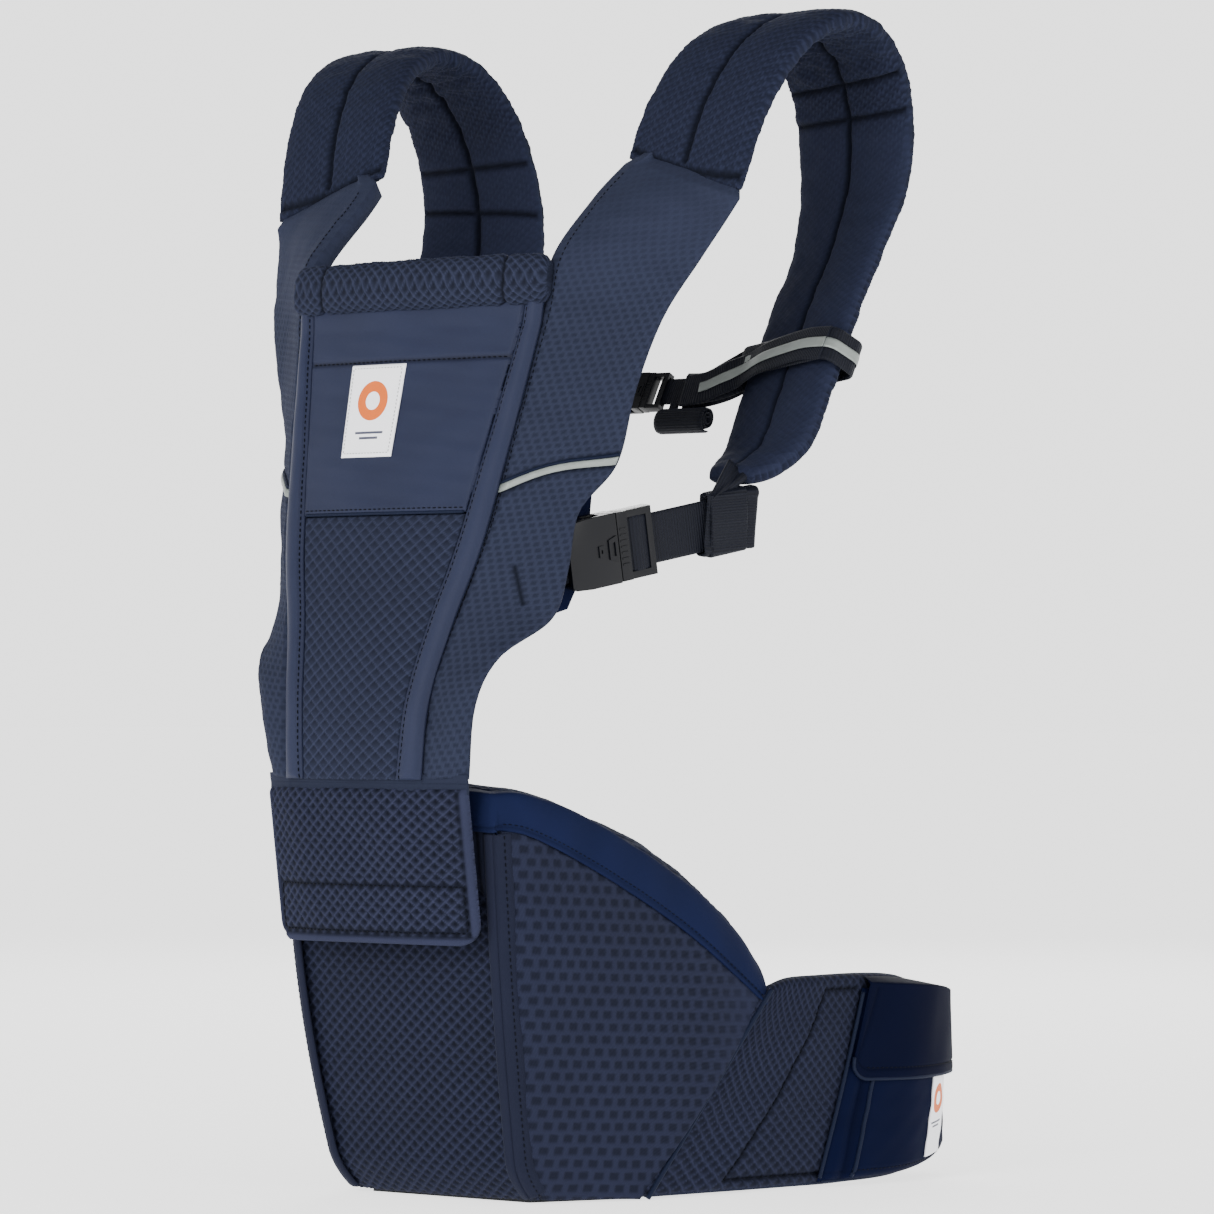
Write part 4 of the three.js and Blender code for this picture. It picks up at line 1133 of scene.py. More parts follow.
def build_buckle(name, place, web, fixed, moving, prongs):
    """Bevelled halves and prongs, with raised rims on the female half, grip ribs on the male half and a
    round button on each prong. Measures are for a buckle of BUCKLE_WEB, and k scales them."""
    k = web / BUCKLE_WEB
    for part, body, radius in (("female", fixed, 0.0009), ("male", moving, 0.0008),
                               ("prong_upper", prongs[0], 0.0006), ("prong_lower", prongs[1], 0.0006)):
        bevelled_copy(f"{name}_buckle_{part}", body, radius * k)

    def on_face(part, face):
        verts, faces = part
        return verts * [1, 1, face], faces

    rims, ribs = [], []
    for face in (1, -1):
        for window in WINDOWS:
            rims.append(on_face(rim_part(np.array(window) * k, 5.0 * k, 6.3 * k, 1.1 * k), face))
        for y in np.linspace(-9.75, 9.75, 7):
            rib = np.array([(32.6, y - 0.5), (36.6, y - 0.5), (36.6, y + 0.5), (32.6, y + 0.5)])
            ribs.append(on_face(slab_part(rib * k, 4.8 * k, 5.5 * k, 0.2 * k), face))
    local_mesh(f"{name}_window_rims", rims, place, fixed, smooth=False)
    local_mesh(f"{name}_grip_ribs", ribs, place, moving, smooth=False)
    for which, s, body in (("upper", 1, prongs[0]), ("lower", -1, prongs[1])):
        button = lobe(vec(17.4, 14.6 * s, 0) * k, vec(4.0, 2.7, 2.9) * k)
        local_mesh(f"{name}_button_{which}", [button], place, body)


# Place and directions of the left strap's buckle, and the width of each webbing.
BUCKLE_AT = (109, -128, 403.5)
BUCKLE_ALONG = (0.344, 0.915, 0.207)
BUCKLE_ACROSS = (0.05, -0.24, 0.97)
STRAP_WEB, CHEST_WEB, WAIST_WEB = 33, 20, 38


def line_points(place, x0, x1):
    """Points along a buckle's own axis."""
    origin, x, _, _ = place
    return origin + even([(x0, 0, 0), (x1, 0, 0)], 0.7)[:, :1] * x


def build_strap_hardware(side, sign):
    """The shoulder strap's buckle, webbings and folded keeper."""
    flip = vec(sign, 1, 1)
    place = buckle_frame(BUCKLE_AT * flip, BUCKLE_ALONG * flip, BUCKLE_ACROSS * flip)
    origin, x, y, z = place
    build_buckle(f"strap_{side}", place, STRAP_WEB, "panel", f"{side}_strap",
                 (f"{side}_prong_a", f"{side}_prong_b"))
    ribbon(f"buckle_tab_web_{side}", line_points(place, -12, 5), y, STRAP_WEB - 0.6, "panel",
           [f"buckle_tab_{side}"])
    k = STRAP_WEB / BUCKLE_WEB
    ribbon(f"strap_web_{side}", line_points(place, 54 * k - 8, 106), y, STRAP_WEB - 0.6, f"{side}_strap",
           [f"strap_webbing_{side}"], samples=23)
    # The webbing comes over the male half's bar and fills its window.
    bar = np.linspace(37.5 * k, 51.5 * k, 24)
    hump = 3.4 * k * np.sin(np.linspace(0.12, 0.88, 24) * math.pi) + 0.5
    ribbon(f"bar_web_{side}", origin + bar[:, None] * x + hump[:, None] * z, y, STRAP_WEB + 2.4,
           f"{side}_strap", thick=1.5, samples=23)
    # Keeper: the pad's own webbing folded into a soft loop, cut slanting at its far end.
    half_w = STRAP_WEB / 2
    turns = ((1.8, 4.5, 101, 138.5, 3.5), (3.0, 5.7, 104, 131, 2.0))
    for turn, (grow, lift, x0, x1, lean) in enumerate(turns):
        ring = rounded_ring(half_w + grow, lift, 2.6)
        ring[:, 1] += 0.5 * np.sin(ring[:, 0] / 6 + turn) * (0.4 + turn)
        middle = (x0 + x1) / 2 + lean * ring[:, 0] / half_w
        path = origin + middle[:, None] * x + ring[:, :1] * y + ring[:, 1:2] * z
        ribbon(f"keeper_turn_{turn}_{side}", path, x, x1 - x0, "panel",
               [f"webbing_keeper_{side}"] if turn == 0 else (), 1.7, True, samples=25)
    stitch_row(f"keeper_stitches_{side}", [(
        np.array([origin + 103 * x + h * y + 7.0 * z for h in np.linspace(-half_w, half_w, 20)]),
        np.broadcast_to(z, (20, 3)))], "panel", 2.2, 1.2, 0.3)
    tie = [(124, half_w + 2.2, 1.5), (122, half_w + 5, 2.5), (120, half_w + 8, 1.0), (117, half_w + 11, 0)]
    tie = catmull([origin + a * x + b * y + c * z for a, b, c in tie], np.linspace(0, 1, 20))
    ribbon(f"keeper_tie_{side}", tie, x, 31, "panel", thick=2.4, samples=19)


# ---------- chest strap ----------
CHEST_AT = (152, 51.6, 531)
PAD_RUN = (0, 17, 31)
CHEST_BUCKLE = (12, 43, 515.3)
# Where the left band's sleeve holds the run, across the body.
SLEEVE = (66, 92)


def facing_front(path, up):
    """Unit vectors out of a band's face, on the side towards the front panel."""
    out = unit(np.cross(np.gradient(path, axis=0), up))
    return np.where(out[:, 1:2] > 0, -out, out)


def build_chest():
    """A loop round each pad, joined by bands, a buckle and a run whose spare end is rolled up."""
    up = unit(vec(*PAD_RUN))
    place = buckle_frame(CHEST_BUCKLE, (1, 0, 0), PAD_RUN)
    build_buckle("chest", place, CHEST_WEB, "chest_strap", "chest_clip", ("chest_prong_a", "chest_prong_b"))
    inner_w, inner_h = PAD_HALF + 4.3, PAD_DEEP + 4.7
    x, y, z = CHEST_BUCKLE
    for side, sign in SIDES:
        flip = vec(sign, 1, 1)
        origin, ax, _, az = buckle_frame(CHEST_AT * flip, vec(*REAR_SIDE) * flip * sign, PAD_RUN)
        ring = rounded_ring(inner_w, inner_h, 7)
        tilt = 0.11 * sign
        path = origin + ring[:, :1] * (ax + tilt * up) + ring[:, 1:2] * az
        ribbon(f"chest_loop_web_{side}", path, up, 24, "chest_strap", [f"chest_loop_{side}"], 1.8, True,
               samples=19)
        # A reflective tape runs round the loop, 7 mm wide.
        ahead = unit(np.roll(path, -1, 0) - np.roll(path, 1, 0))
        away = np.cross(ahead, up)
        away = unit(away * np.sign(np.sum(away * (path - origin), axis=1, keepdims=True)))
        ribbon(f"chest_loop_tape_{side}", path + away * 1.3, up, 7, "chest_strap", (), 0.5, True, SILVER, 7,
               0.0)
        path, away = (np.concatenate([line, line[:1]]) for line in (path, away))
        rows = [(path + away + up * shift, away) for shift in (4.1, -4.1)]
        stitch_row(f"chest_loop_stitches_{side}", rows, "chest_strap", 1.8, 0.9, 0.25)
        # The bands start at the loops' inner sides.
        root = vec(*CHEST_AT) - (PAD_HALF + 5) * vec(*REAR_SIDE)
        root[2] = CHEST_AT[2]
        if side == "left":
            line = [root, (100, y + 14, z + 10), (SLEEVE[1] - 2, y + 3, z + 2.4),
                    (SLEEVE[1] - 14, y + 0.3, z), (SLEEVE[0], y, z)]
            path = even(catmull(line, np.linspace(0, 1, 80)), 0.8)
            front = facing_front(path, up)
            for lift, tag in ((2.4, "front"), (-2.4, "back")):
                ribbon(f"chest_band_{tag}", path + front * lift, up, 24, "chest_strap", (), 1.6, samples=19)
            face = inner_h + 1.9
            top = [origin + az * lift + ax * a + up * drop for a, lift, drop in (
                (PAD_HALF, face - 1.5, 5), (26, face, 4), (4, face + 0.3, 0.5), (-18, face + 0.5, -4.5))]
            ahead = [(112, y + 3, z + 12.5), (97, y - 1, z + 6.5), (84, y - 3.8, z + 1.6),
                     (SLEEVE[0] + 2, y - 4.4, z)]
            over = even(catmull(np.array(top + [vec(*p) for p in ahead]), np.linspace(0, 1, 160)), 0.8)
            out = facing_front(over, up)
            ribbon("chest_band_face", over, up, 24, "chest_strap", (), 1.6, samples=19)
            band = over[: int(len(over) * 0.9)]
            out = out[: len(band)]
            ribbon("chest_band_tape", band + out * 1.2, up, 7.4, "chest_strap", (), 0.5, False, SILVER, 7,
                   0.0)
            rows = [(band + out * 0.95 + up * shift, out) for shift in (4.4, -4.4)]
            stitch_row("chest_band_stitches", rows, "chest_strap", 1.8, 0.9, 0.25)
        else:
            line = [root * flip, (-78, y + 5, z + 9), (-40, y + 1.5, z + 3), (0, y, z), (x + 4, y, z)]
            path = even(catmull(line, np.linspace(0, 1, 120)), 0.8)
            ribbon("chest_tail", path, up, 20, "chest_strap", (), 1.8, samples=17)
    start = 54 * CHEST_WEB / BUCKLE_WEB - 6
    end = SLEEVE[0] - x
    ribbon("chest_run", line_points(place, start, end + 3), place[2], 19.4, "chest_clip", ["chest_webbing"],
           samples=17)
    # The spare end hangs from the run and is rolled up.
    origin, ax, ay, az = place
    h = np.linspace(-9.0, -22.0, 18)
    drop = origin + (end - 5) * ax + h[:, None] * ay
    ribbon("chest_drop", drop, ax, 7.6, "chest_clip", (), 1.7, samples=9)
    a = np.linspace(0, 2 * math.pi * 2.6, 120)
    r = 1.7 + 0.42 * a
    middle = (end - 9 + end + 24) / 2
    coil = origin + middle * ax + (r * np.cos(a) - 22)[:, None] * ay + (r * 0.8 * np.sin(a))[:, None] * az
    ribbon("chest_spare_roll", coil, ax, 40, "chest_clip", (), 1.7, samples=19)


# ---------- seat ----------
# Lines from the seat's front to its back: the top's left rim and middle, and the side wall's top and foot.
RIM = [
    (88, -172, 257), (98, -156, 257.5), (105, -122, 249.5), (112, -78, 231), (120, -28, 204.5),
    (125, 19, 171), (124, 46, 147),
]
MIDDLE = [
    (0, -177, 262), (0, -160, 263), (0, -122, 259), (0, -78, 252), (0, -28, 241), (0, 12, 226),
    (0, 28, 218),
]
WALL_TOP = [
    (88, -168, 236), (98, -153, 233), (106, -122, 220), (115, -80, 199), (123, -33, 173),
    (130, 5, 147), (136, 38, 122),
]
WALL_FOOT = [
    (76, -130, 1), (82, -122, 1), (89, -108, 1), (96, -93, 1), (103, -79, 1), (108, -67, 1),
    (112, -57, 1),
]
UP = vec(0, 0, 1)


def tuck(v):
    """How far the walls' foot draws in."""
    return 15 * np.maximum(0, 1 - v / 0.12) ** 2


def top_shape(v, u):
    rim, middle = catmull(RIM, v), catmull(MIDDLE, v)
    u = 2 * u[None] - 1
    bow = np.abs(u) ** 1.7
    return np.stack([u * rim[:, :1], mix(middle[:, 1:2], rim[:, 1:2], bow),
                     mix(middle[:, 2:3], rim[:, 2:3], bow)], -1)


def front_wall(v, u):
    u = 2 * u[None] - 1
    v = v[:, None]
    corner = mix(vec(*WALL_FOOT[0]), vec(*WALL_TOP[0]), v)
    bulge = 5 * np.sin(np.pi * v)
    x = u * (corner[:, :1] + 0.4 * bulge + 1.5)
    y = corner[:, 1:2] - bulge - 5 * (1 - u * u) + tuck(v)
    return np.stack([x, y, np.broadcast_to(corner[:, 2:3], y.shape)], -1)


def side_wall(v, u):
    v = v[:, None]
    w = mix(0.03 * (1 - v), 0.994, u[None])
    foot = catmull(WALL_FOOT, w.ravel()).reshape(*w.shape, 3)
    top = catmull(WALL_TOP, w.ravel()).reshape(*w.shape, 3)
    p = mix(foot, top, v[..., None])
    p[..., 0] += 8 * np.sin(np.pi * v) * (1 - 0.3 * w)
    p[..., 1] += tuck(v) * (1 - w) - 3 * np.sin(np.pi * v) * (1 - w)
    return p


def cushion_cover(rows, cols):
    """Seat top with its rim band: it goes over the rim and down to the top of the walls."""
    # Shares of the grid that the side skirts and the front skirt take.
    skirt, front_skirt = 22 / 300, 0.12
    p, q = np.linspace(-front_skirt, 1, rows), np.linspace(0, 1, cols)
    v = np.clip(p, 0, 1)
    u = np.clip((q - skirt) / (1 - 2 * skirt), 0, 1)
    grid = top_shape(v, u)
    down = np.clip(-p / front_skirt, 0, 1)[:, None]
    beside = np.clip((skirt - np.minimum(q, 1 - q)) / skirt, 0, 1)[None] + np.zeros_like(down)
    side = np.where(q < 0.5, -1.0, 1.0)[None, :, None]
    wall = catmull(WALL_TOP, v)[:, None] + vec(1.5, 0, -1.5)
    wall = wall * np.where(side < 0, vec(-1, 1, 1), vec(1, 1, 1))
    bulge = 2.5 * np.sin(np.pi * beside)[..., None] * side * vec(1, 0, 0)
    grid = mix(grid, wall, beside[..., None]) + bulge
    grid[..., 2] -= 24.0 * down * (1 - beside)
    grid[..., 1] -= (2.0 + 4.0 * np.sin(np.pi * down)) * down
    # The bends are smoothed over about the same distance at any fineness.
    for _ in range(int(9 * (cols / 200) ** 2) + 1):
        grid[:, 1:-1] = (grid[:, :-2] + 2 * grid[:, 1:-1] + grid[:, 2:]) / 4
        grid[1:-1] = (grid[:-2] + 2 * grid[1:-1] + grid[2:]) / 4
    inside = np.minimum(1 - beside, 1 - down)
    return grid, inside, beside, down


def build_cushion():
    """A mesh top inside a satin band that rolls over the rim to the walls."""

    def faces_of(rows, cols):
        grid, inside, beside, down = cushion_cover(rows, cols)
        n = normals(grid, grid - vec(0, -60, 60))
        return grid, n, grid - n * mix(3, 16, ease(inside, 0.9, 1.0))[..., None], beside, down

    grid, _, back, beside, down = faces_of(25, 33)
    front_shift, back_shift = inflate(grid, back, np.maximum(beside, down) > 0.05, 3, 3)
    rows, cols = 225, 257
    grid, n, back, _, _ = faces_of(rows, cols)
    s, t = lengths(grid)
    from_edge = np.minimum(np.minimum(s, s[:, -1:] - s), t)
    free = ease(from_edge, 26, 56)[..., None]
    front = grid + resample(front_shift, rows, cols) * free
    back = back + resample(back_shift, rows, cols) * 0.3 * free
    within = from_edge - 36
    mesh_zone = ease(within, 0, 3)
    weave = lattice(grid[..., 0] + 300, t, *AIR_CELL)
    seam = bell(within, 1.6)
    hem = bell(from_edge - 3, 1.0)
    slack = 0.45 * soft_noise(s, t, 50, 62)
    push = 0.7 * (weave - 1) * mesh_zone - 1.5 * seam - 0.7 * hem + slack
    front = front + n * push[..., None]
    # Painted shade on the slack satin: darker in its hollows, lighter on its rises.
    shade = mix(0.8 + 0.2 * ease(slack, -0.5, 0.5), weave, mesh_zone) * (1 - 0.8 * seam) * (1 - 0.5 * hem)
    ob = cloth_piece("seat_cushion", front, back, "seat_and_belt", [RIM_SATIN_LIT, MESH],
                     ["seat_top_pad"], 8, shade)
    zone = np.zeros(len(ob.data.polygons), np.int32)
    cells = (mesh_zone[:-1, :-1] > 0.5).ravel()
    zone[: len(cells)] = cells
    ob.data.polygons.foreach_set("material_index", zone)
    stations = np.linspace(0.12, 0.99, rows)
    hem_u = np.interp(stations, np.linspace(0, 1, rows), 3.2 / s[:, -1])
    lines = [on_grid(front, n, stations, u, 0.3) for u in (hem_u, 1 - hem_u)]
    stitch_row("rim_band_stitches", lines, "seat_and_belt", 2.4, 1.3, 0.28)


def build_seat():
    """Cushion, walls and belly pad round the foam and its board."""
    body = "seat_and_belt"
    build_cushion()
    _, n, front, back = puffed(front_wall, 241, 169, FRONT, -0.4, 4, 4, 2.5, None, 2.5, 10)
    s, t = lengths(front)
    weave = lattice(front[..., 0] + 300, t, *WALL_CELL, 0.3)
    rim = rounding(front, 7)
    wave = 0.5 * soft_noise(s, t, 50, 61)
    front = front + n * ((1.1 * (weave - 1) + wave) * rim)[..., None]
    ob = cloth_piece("seat_front", front, back, body, BELT_MESH, ["seat_front_cover"], 8,
                     weave)
    for side, sign in SIDES:
        shape = lambda v, u, g=sign: side_wall(v, u) * [g, 1, 1]
        out = vec(0.95 * sign, -0.3, 0)
        _, n, front, back = puffed(shape, 185, 185, out, -0.4, 4, 4, 2.5, None, 2.5, 10)
        s, t = lengths(front)
        along = front[..., 1]
        weave = blocks(along * 1.04, front[..., 2] + 0.05 * along, *SIDE_CELL, 0.5)
        fade = 1 - 0.5 * ease(along, -20, 40)
        rim = rounding(front, 7)
        wave = 0.8 * soft_noise(s, t, 60, 63 + sign) + 0.3 * soft_noise(s, t, 24, 66)
        front = front + n * ((0.75 * (weave - 1) * fade + wave) * rim)[..., None]
        ob = cloth_piece(f"seat_side_{side}", front, back, body, BELT_MESH,
                         [f"seat_side_cover_{side}"], 8, mix(1, weave, fade))
        build_corner(side, sign)
    build_belly()
    for node, material in (("seat_base_board", BOARD), ("seat_foam_core", FOAM)):
        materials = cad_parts[node].data.materials
        materials.clear()
        materials.append(material)


def build_corner(side, sign):
    """Tape over the seam between the front and side walls, with its stitch line."""
    body = "seat_and_belt"
    v = np.linspace(0.015, 0.985, 200)
    foot, top = vec(*WALL_FOOT[0]), vec(*WALL_TOP[0])
    edge = mix(foot, top, v[:, None])
    bulge = np.sin(np.pi * v)
    edge[:, 0] += 3.2 * bulge + 0.6
    edge[:, 1] += -6.2 * bulge + tuck(v) - 0.6
    edge *= [sign, 1, 1]
    out = unit(vec(0.72 * sign, -0.7, 0))
    beside = unit(vec(0.7 * sign, 0.72, 0))
    path = edge + out * 1.4
    # Its section is low at both edges, with a seam's dip on the front side.
    section = np.array([(-8.5, -4.2), (-8, -2.4), (-5, -0.6), (-3.4, 0.0), (-3, -0.7), (-2.6, 0.1), (0, 0.7),
                        (4.5, 0.1), (8.5, -2.2), (9.2, -4.0), (0, -5.0)])
    section = section * [1, -1] if sign > 0 else section
    verts, faces, uv = sweep(path, np.broadcast_to(beside, path.shape), lambda i: section)
    ob = mesh_object(f"corner_tape_{side}", verts, faces, uv, np.full(len(verts), 0.5))
    finish_piece(ob, body, BELT_MESH)
    row = path + beside * 4.2 + out * 0.4
    stitch_row(f"corner_stitches_{side}", [(row, np.broadcast_to(out, row.shape))], body, 2.6, 1.6, 0.4)


def build_belly():
    """Arched pad between the seat and the wearer."""

    def shape(v, u):
        u = 2 * u[None] - 1
        v = v[:, None]
        arch = 212 - 72 * np.abs(u) ** 1.7
        y = 40 + 22 * u * u - 4 * np.sin(np.pi * v) - ease(v, 0.72, 1) * (7 + 9 * u * u)
        return np.stack([u * mix(107, 125, v), y, mix(1, arch, v)], -1)

    _, n, front, back = puffed(shape, 161, 193, vec(0, 1, 0), 0, 12, 6, 4, None, 3, 10)
    weave = lattice(*lengths(front), *AIR_CELL)
    front = front + n * (0.8 * (weave - 1) * rounding(front, 8))[..., None]
    ob = cloth_piece("belly_cushion", front, back, "seat_and_belt", MESH, ["belly_pad"], 8,
                     weave)


# ---------- front flap and the cloth around it ----------
# Half the flap's width, its lowest and highest edge, and the height of the fold above it.
FLAP_HALF, FLAP_LOW, FLAP_TOP, FOLD_Z = 84, 163, 260.8, 266


def flap_y(x, z):
    """Depth of the flap's front. It leans forward as it rises, and curves back at its sides."""
    rise = (z - FLAP_LOW) / (FOLD_Z - FLAP_LOW)
    return mix(-193, -210, rise) + mix(15, 18, rise) * np.abs(x / FLAP_HALF) ** 2.6


def flap_shape(v, u, z0=FLAP_LOW, z1=FLAP_TOP, half=FLAP_HALF, corner=14.0):
    z = mix(z0, z1, v)[:, None]
    dz = np.clip(z - z0, 0, corner)
    reach = half - corner + np.sqrt(np.maximum(corner**2 - (corner - dz) ** 2, 0)) if corner else half
    x = (2 * u[None] - 1) * (reach + np.zeros_like(z))
    return np.stack([x, flap_y(x, z), np.broadcast_to(z, x.shape)], -1)


def build_flap():
    """Front flap, its hook and loop strips, and the skirt of cloth behind it."""
    _, n, front, back = puffed(flap_shape, 105, 177, FRONT, -1.0, 8, 5, 3, None, 2.5, 8)
    x, z = front[..., 0], front[..., 2]
    weave = lattice(x + 300, z, *FLAP_CELL, 0.3)
    box = [(-76, 171), (77, 171), (77, 200), (-76, 200), (-76, 171)]
    line = groove(x, z, box, 1.5)
    from_edge = np.minimum(z - FLAP_LOW, FLAP_HALF - np.abs(x))
    bound = ease(from_edge, 4.5, 6.0)
    gutter = bell(from_edge - 5.4, 1.1)
    puff = 1.3 * ease(z, 200, 214) * ease(z, 262, 245) + 0.9 * soft_noise(x, z, 38, 71)
    push = 1.25 * (weave - 1) * bound * (1 - line) + puff * bound - 1.6 * line - 1.0 * gutter
    front = front + n * (push * rounding(front, 3))[..., None]
    shade = mix(0.95, weave, bound) * (1 - 0.7 * np.maximum(line, gutter * 0.8))
    ob = cloth_piece("waffle_flap", front, back, "flap", WAFFLE, ["front_flap"], 8, shade)
    rows = []
    for (a, b), (c, d) in zip(box[:-1], box[1:], strict=True):
        pts = even([(a, b, 0), (c, d, 0)], 1.0)
        v = (pts[:, 1] - FLAP_LOW) / (FLAP_TOP - FLAP_LOW)
        rows.append(on_grid(front, n, v, (pts[:, 0] / FLAP_HALF + 1) / 2, 0.5))
    stitch_row("flap_stitches", rows, "flap", 2.6, 1.1, 0.32)

    hooks = flap_shape(np.linspace(0, 1, 25), np.linspace(0, 1, 97), 172, 196, 60, 0)
    n = normals(hooks, FRONT)
    rough = 0.25 * np.random.default_rng(5).random(hooks.shape[:2])[..., None]
    ob = cloth_piece("hook_strip", hooks - n * (10.2 + rough), hooks - n * 8.4, "flap", WEBBING,
                     ["flap_hook_strip"], 8)
    loops = front_wall(mix(0.72, 0.84, np.linspace(0, 1, 33)), mix(0.1, 0.9, np.linspace(0, 1, 129)))
    n = normals(loops, FRONT)
    rough = 0.35 * np.random.default_rng(6).random(loops.shape[:2])[..., None]
    ob = cloth_piece("loop_strip", loops + n * (1.7 + rough), loops + n * 0.5, "seat_and_belt",
                     WEBBING, ["seat_loop_strip"], 8)

    # Skirt: the panel's cloth goes on down behind the flap, and hangs lower in a curve at each side.
    v, u = np.linspace(0, 1, 49), np.linspace(0, 1, 145)
    skirt = front_wall(mix(0.86, 1.0, v), mix(0.01, 0.99, u))
    n = normals(skirt, FRONT)
    s, t = lengths(skirt)
    drop = UP * (12 * bell(np.abs(skirt[..., 0]) - FLAP_HALF, 12) * (1 - v)[:, None])[..., None]
    ribs = np.sin(s / 0.9)
    rise = 1.6 + 1.2 * ease(t, 2, 8) + 0.25 * ribs
    # Painted shade on the skirt's ribs: lighter on each rib, darker between them.
    ob = cloth_piece("panel_skirt_cloth", skirt + n * rise[..., None] - drop, skirt + n * 0.4 - drop,
                     "seat_and_belt", BELT_MESH, ["panel_skirt"], 8, 0.4 + 0.3 * ribs)


def build_fold():
    """Cloth that joins the flap and the panel to the seat across the fold."""
    x = np.linspace(-83, 83, 129)
    under_panel = np.where(np.abs(x) > 57, 0.4, 1.0)[None]
    folds = (("flap_fold", 264.4, 257.0, "flap"), ("panel_fold_cloth", 262.6, 269.5, "panel"))
    for name, z0, z1, other in folds:
        z = np.linspace(z0, z1, 9)[:, None] * np.ones_like(x)[None]
        y = flap_y(x[None], np.clip(z, FLAP_LOW, FOLD_Z)) + 3.0
        dip = 0.8 * np.cos((z - 263.4) / 6.4 * math.pi)
        grid = np.stack([np.broadcast_to(x, z.shape), y + dip * under_panel, z], -1)
        n = normals(grid, FRONT)
        verts, faces = skin(grid + n * 0.8, grid - n * 0.8)
        ob = mesh_object(name, verts, outward_faces(verts, faces), np.zeros((len(verts), 2)),
                         np.full(len(verts), 0.55))
        finish_piece(ob, None, WING)
        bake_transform(ob)


# ---------- waist belt ----------
# The left arm's lower and upper edge, from the seat's side round to the back.
BELT_FOOT = [
    (113.4, -53, 1.5), (125, 5, 1.5), (135, 60, 1.5), (140, 110, 1.5), (137, 160, 3),
    (124, 205, 8), (99, 240, 16), (78, 254, 22), (62, 257, 26),
]
BELT_HEAD = [
    (138.4, 41, 130), (140.5, 62, 136), (143.5, 90, 137), (144, 130, 137), (138, 172, 135),
    (124, 210, 130), (99, 242, 120), (78, 255, 112), (62, 258, 108),
]
# Length of an arm, its usual height, and how far its root goes into the seat's side.
BELT_RUN, BELT_HIGH, ROOT_DEPTH = 385, 135, 5
# A seam on the arm, as shares of its length and height.
BELT_SEAM = [(0.125, 0.06), (0.25, 0.78), (0.27, 0.93), (0.36, 0.93)]
ARM_END, WAIST_Y, WAIST_Z, WAIST_X = 62, 259.6, 67, -56


def belt_point(v, u):
    """v and u of the same shape."""
    foot = catmull(BELT_FOOT, v.ravel()).reshape(*v.shape, 3)
    head = catmull(BELT_HEAD, v.ravel()).reshape(*v.shape, 3)
    return mix(foot, head, u[..., None])


def from_middle(grid):
    return np.stack([grid[..., 0], grid[..., 1] - 150, np.zeros(grid.shape[:2])], -1)


def build_belt():
    """Two padded arms round the waist, and the buckle between them."""
    body = "seat_and_belt"
    for side, sign in SIDES:
        def shape(v, u, g=sign):
            v, u = np.meshgrid(v, u, indexing="ij")
            return belt_point(v, u) * [g, 1, 1]

        grid, n, front, back = puffed(shape, 313, 113, from_middle, 0, 14, 7, 4.0,
                                      lambda v, u: np.abs(v - 0.12 - 0.02 * u) < 0.02, 3, 9, ("low",))
        v = np.linspace(0, 1, 313)[:, None]
        u = np.linspace(0, 1, 113)[None]
        root = np.clip(1 - v * BELT_RUN / 8, 0, 1)[..., None] * unit(grid[:1] - grid[4:5]) * ROOT_DEPTH
        front, back = front + root, back + root
        s, t = lengths(front)
        rim = rounding(front, 8, ("low",))
        weave = lattice(v * BELT_RUN, u * BELT_HIGH, *BELT_CELL, 0.2)
        # The seams are measured without the root.
        clear = BELT_RUN - ROOT_DEPTH
        outline = [(a * clear, b * BELT_HIGH) for a, b in [(0.36, 0.06), *BELT_SEAM]]
        mark = groove(v * clear + 0 * u, u * BELT_HIGH + 0 * v, outline, 1.7)
        hem = bell(u * BELT_HIGH - 8, 1.5) * (v > 0.125)
        slow = 0.8 * soft_noise(s, t, 45, 81 + sign)
        push = rim * (0.75 * (weave - 1) + slow) - 1.5 * mark - 0.9 * hem * rim
        front = front + n * push[..., None]
        shade = weave * (1 - 0.8 * np.maximum(mark, hem * 0.7))
        smooth_back = back - n * (0.7 * soft_noise(s, t, 40, 85) * rim)[..., None]
        ob = cloth_piece(f"belt_pad_{side}", front, smooth_back, body, BELT_MESH,
                         [f"belt_arm_{side}"], 4, shade)
        lower = [BELT_SEAM[0], (0.99, BELT_SEAM[0][1])]
        dense = [even([(a, b, 0) for a, b in line], 0.004) for line in (BELT_SEAM, lower)]
        rows = [on_grid(front, n, d[:, 0], d[:, 1], 0.4) for d in dense]
        stitch_row(f"belt_stitches_{side}", rows, body, 2.6, 1.4, 0.34)
        # Piping along the seam between the seat's side and the belt.
        edge, _ = on_grid(grid, n, 0.0, np.linspace(0, 1, 120), 0.4)
        tube(f"belt_seam_piping_{side}", edge, 1.7, body, SEAM)
        foot, _ = on_grid(grid, n, np.linspace(0, 0.975, 200), 0.014, -4.5)
        foot[:, 2] = np.maximum(foot[:, 2], 2.2)
        tube(f"belt_foot_binding_{side}", foot, 1.8, body, SEAM)
    place = buckle_frame((WAIST_X, WAIST_Y, WAIST_Z), (1, 0, 0), (0, 0, 1))
    build_buckle("waist", place, WAIST_WEB, body, "waist_strap", ("waist_prong_a", "waist_prong_b"))
    wide = WAIST_WEB - 0.6
    ribbon("waist_tab_web", line_points(place, -ARM_END - 22 - WAIST_X, 7), place[2], wide, body,
           ["waist_tab"], samples=23)
    start = 54 * WAIST_WEB / BUCKLE_WEB - 9
    ribbon("waist_web", line_points(place, start, ARM_END + 8 - WAIST_X), place[2], wide, "waist_strap",
           ["waist_webbing"], samples=23)


# ---------- pouch ----------
POUCH_BACK, POUCH_TOP, POUCH_T = 0.775, 0.93, 20


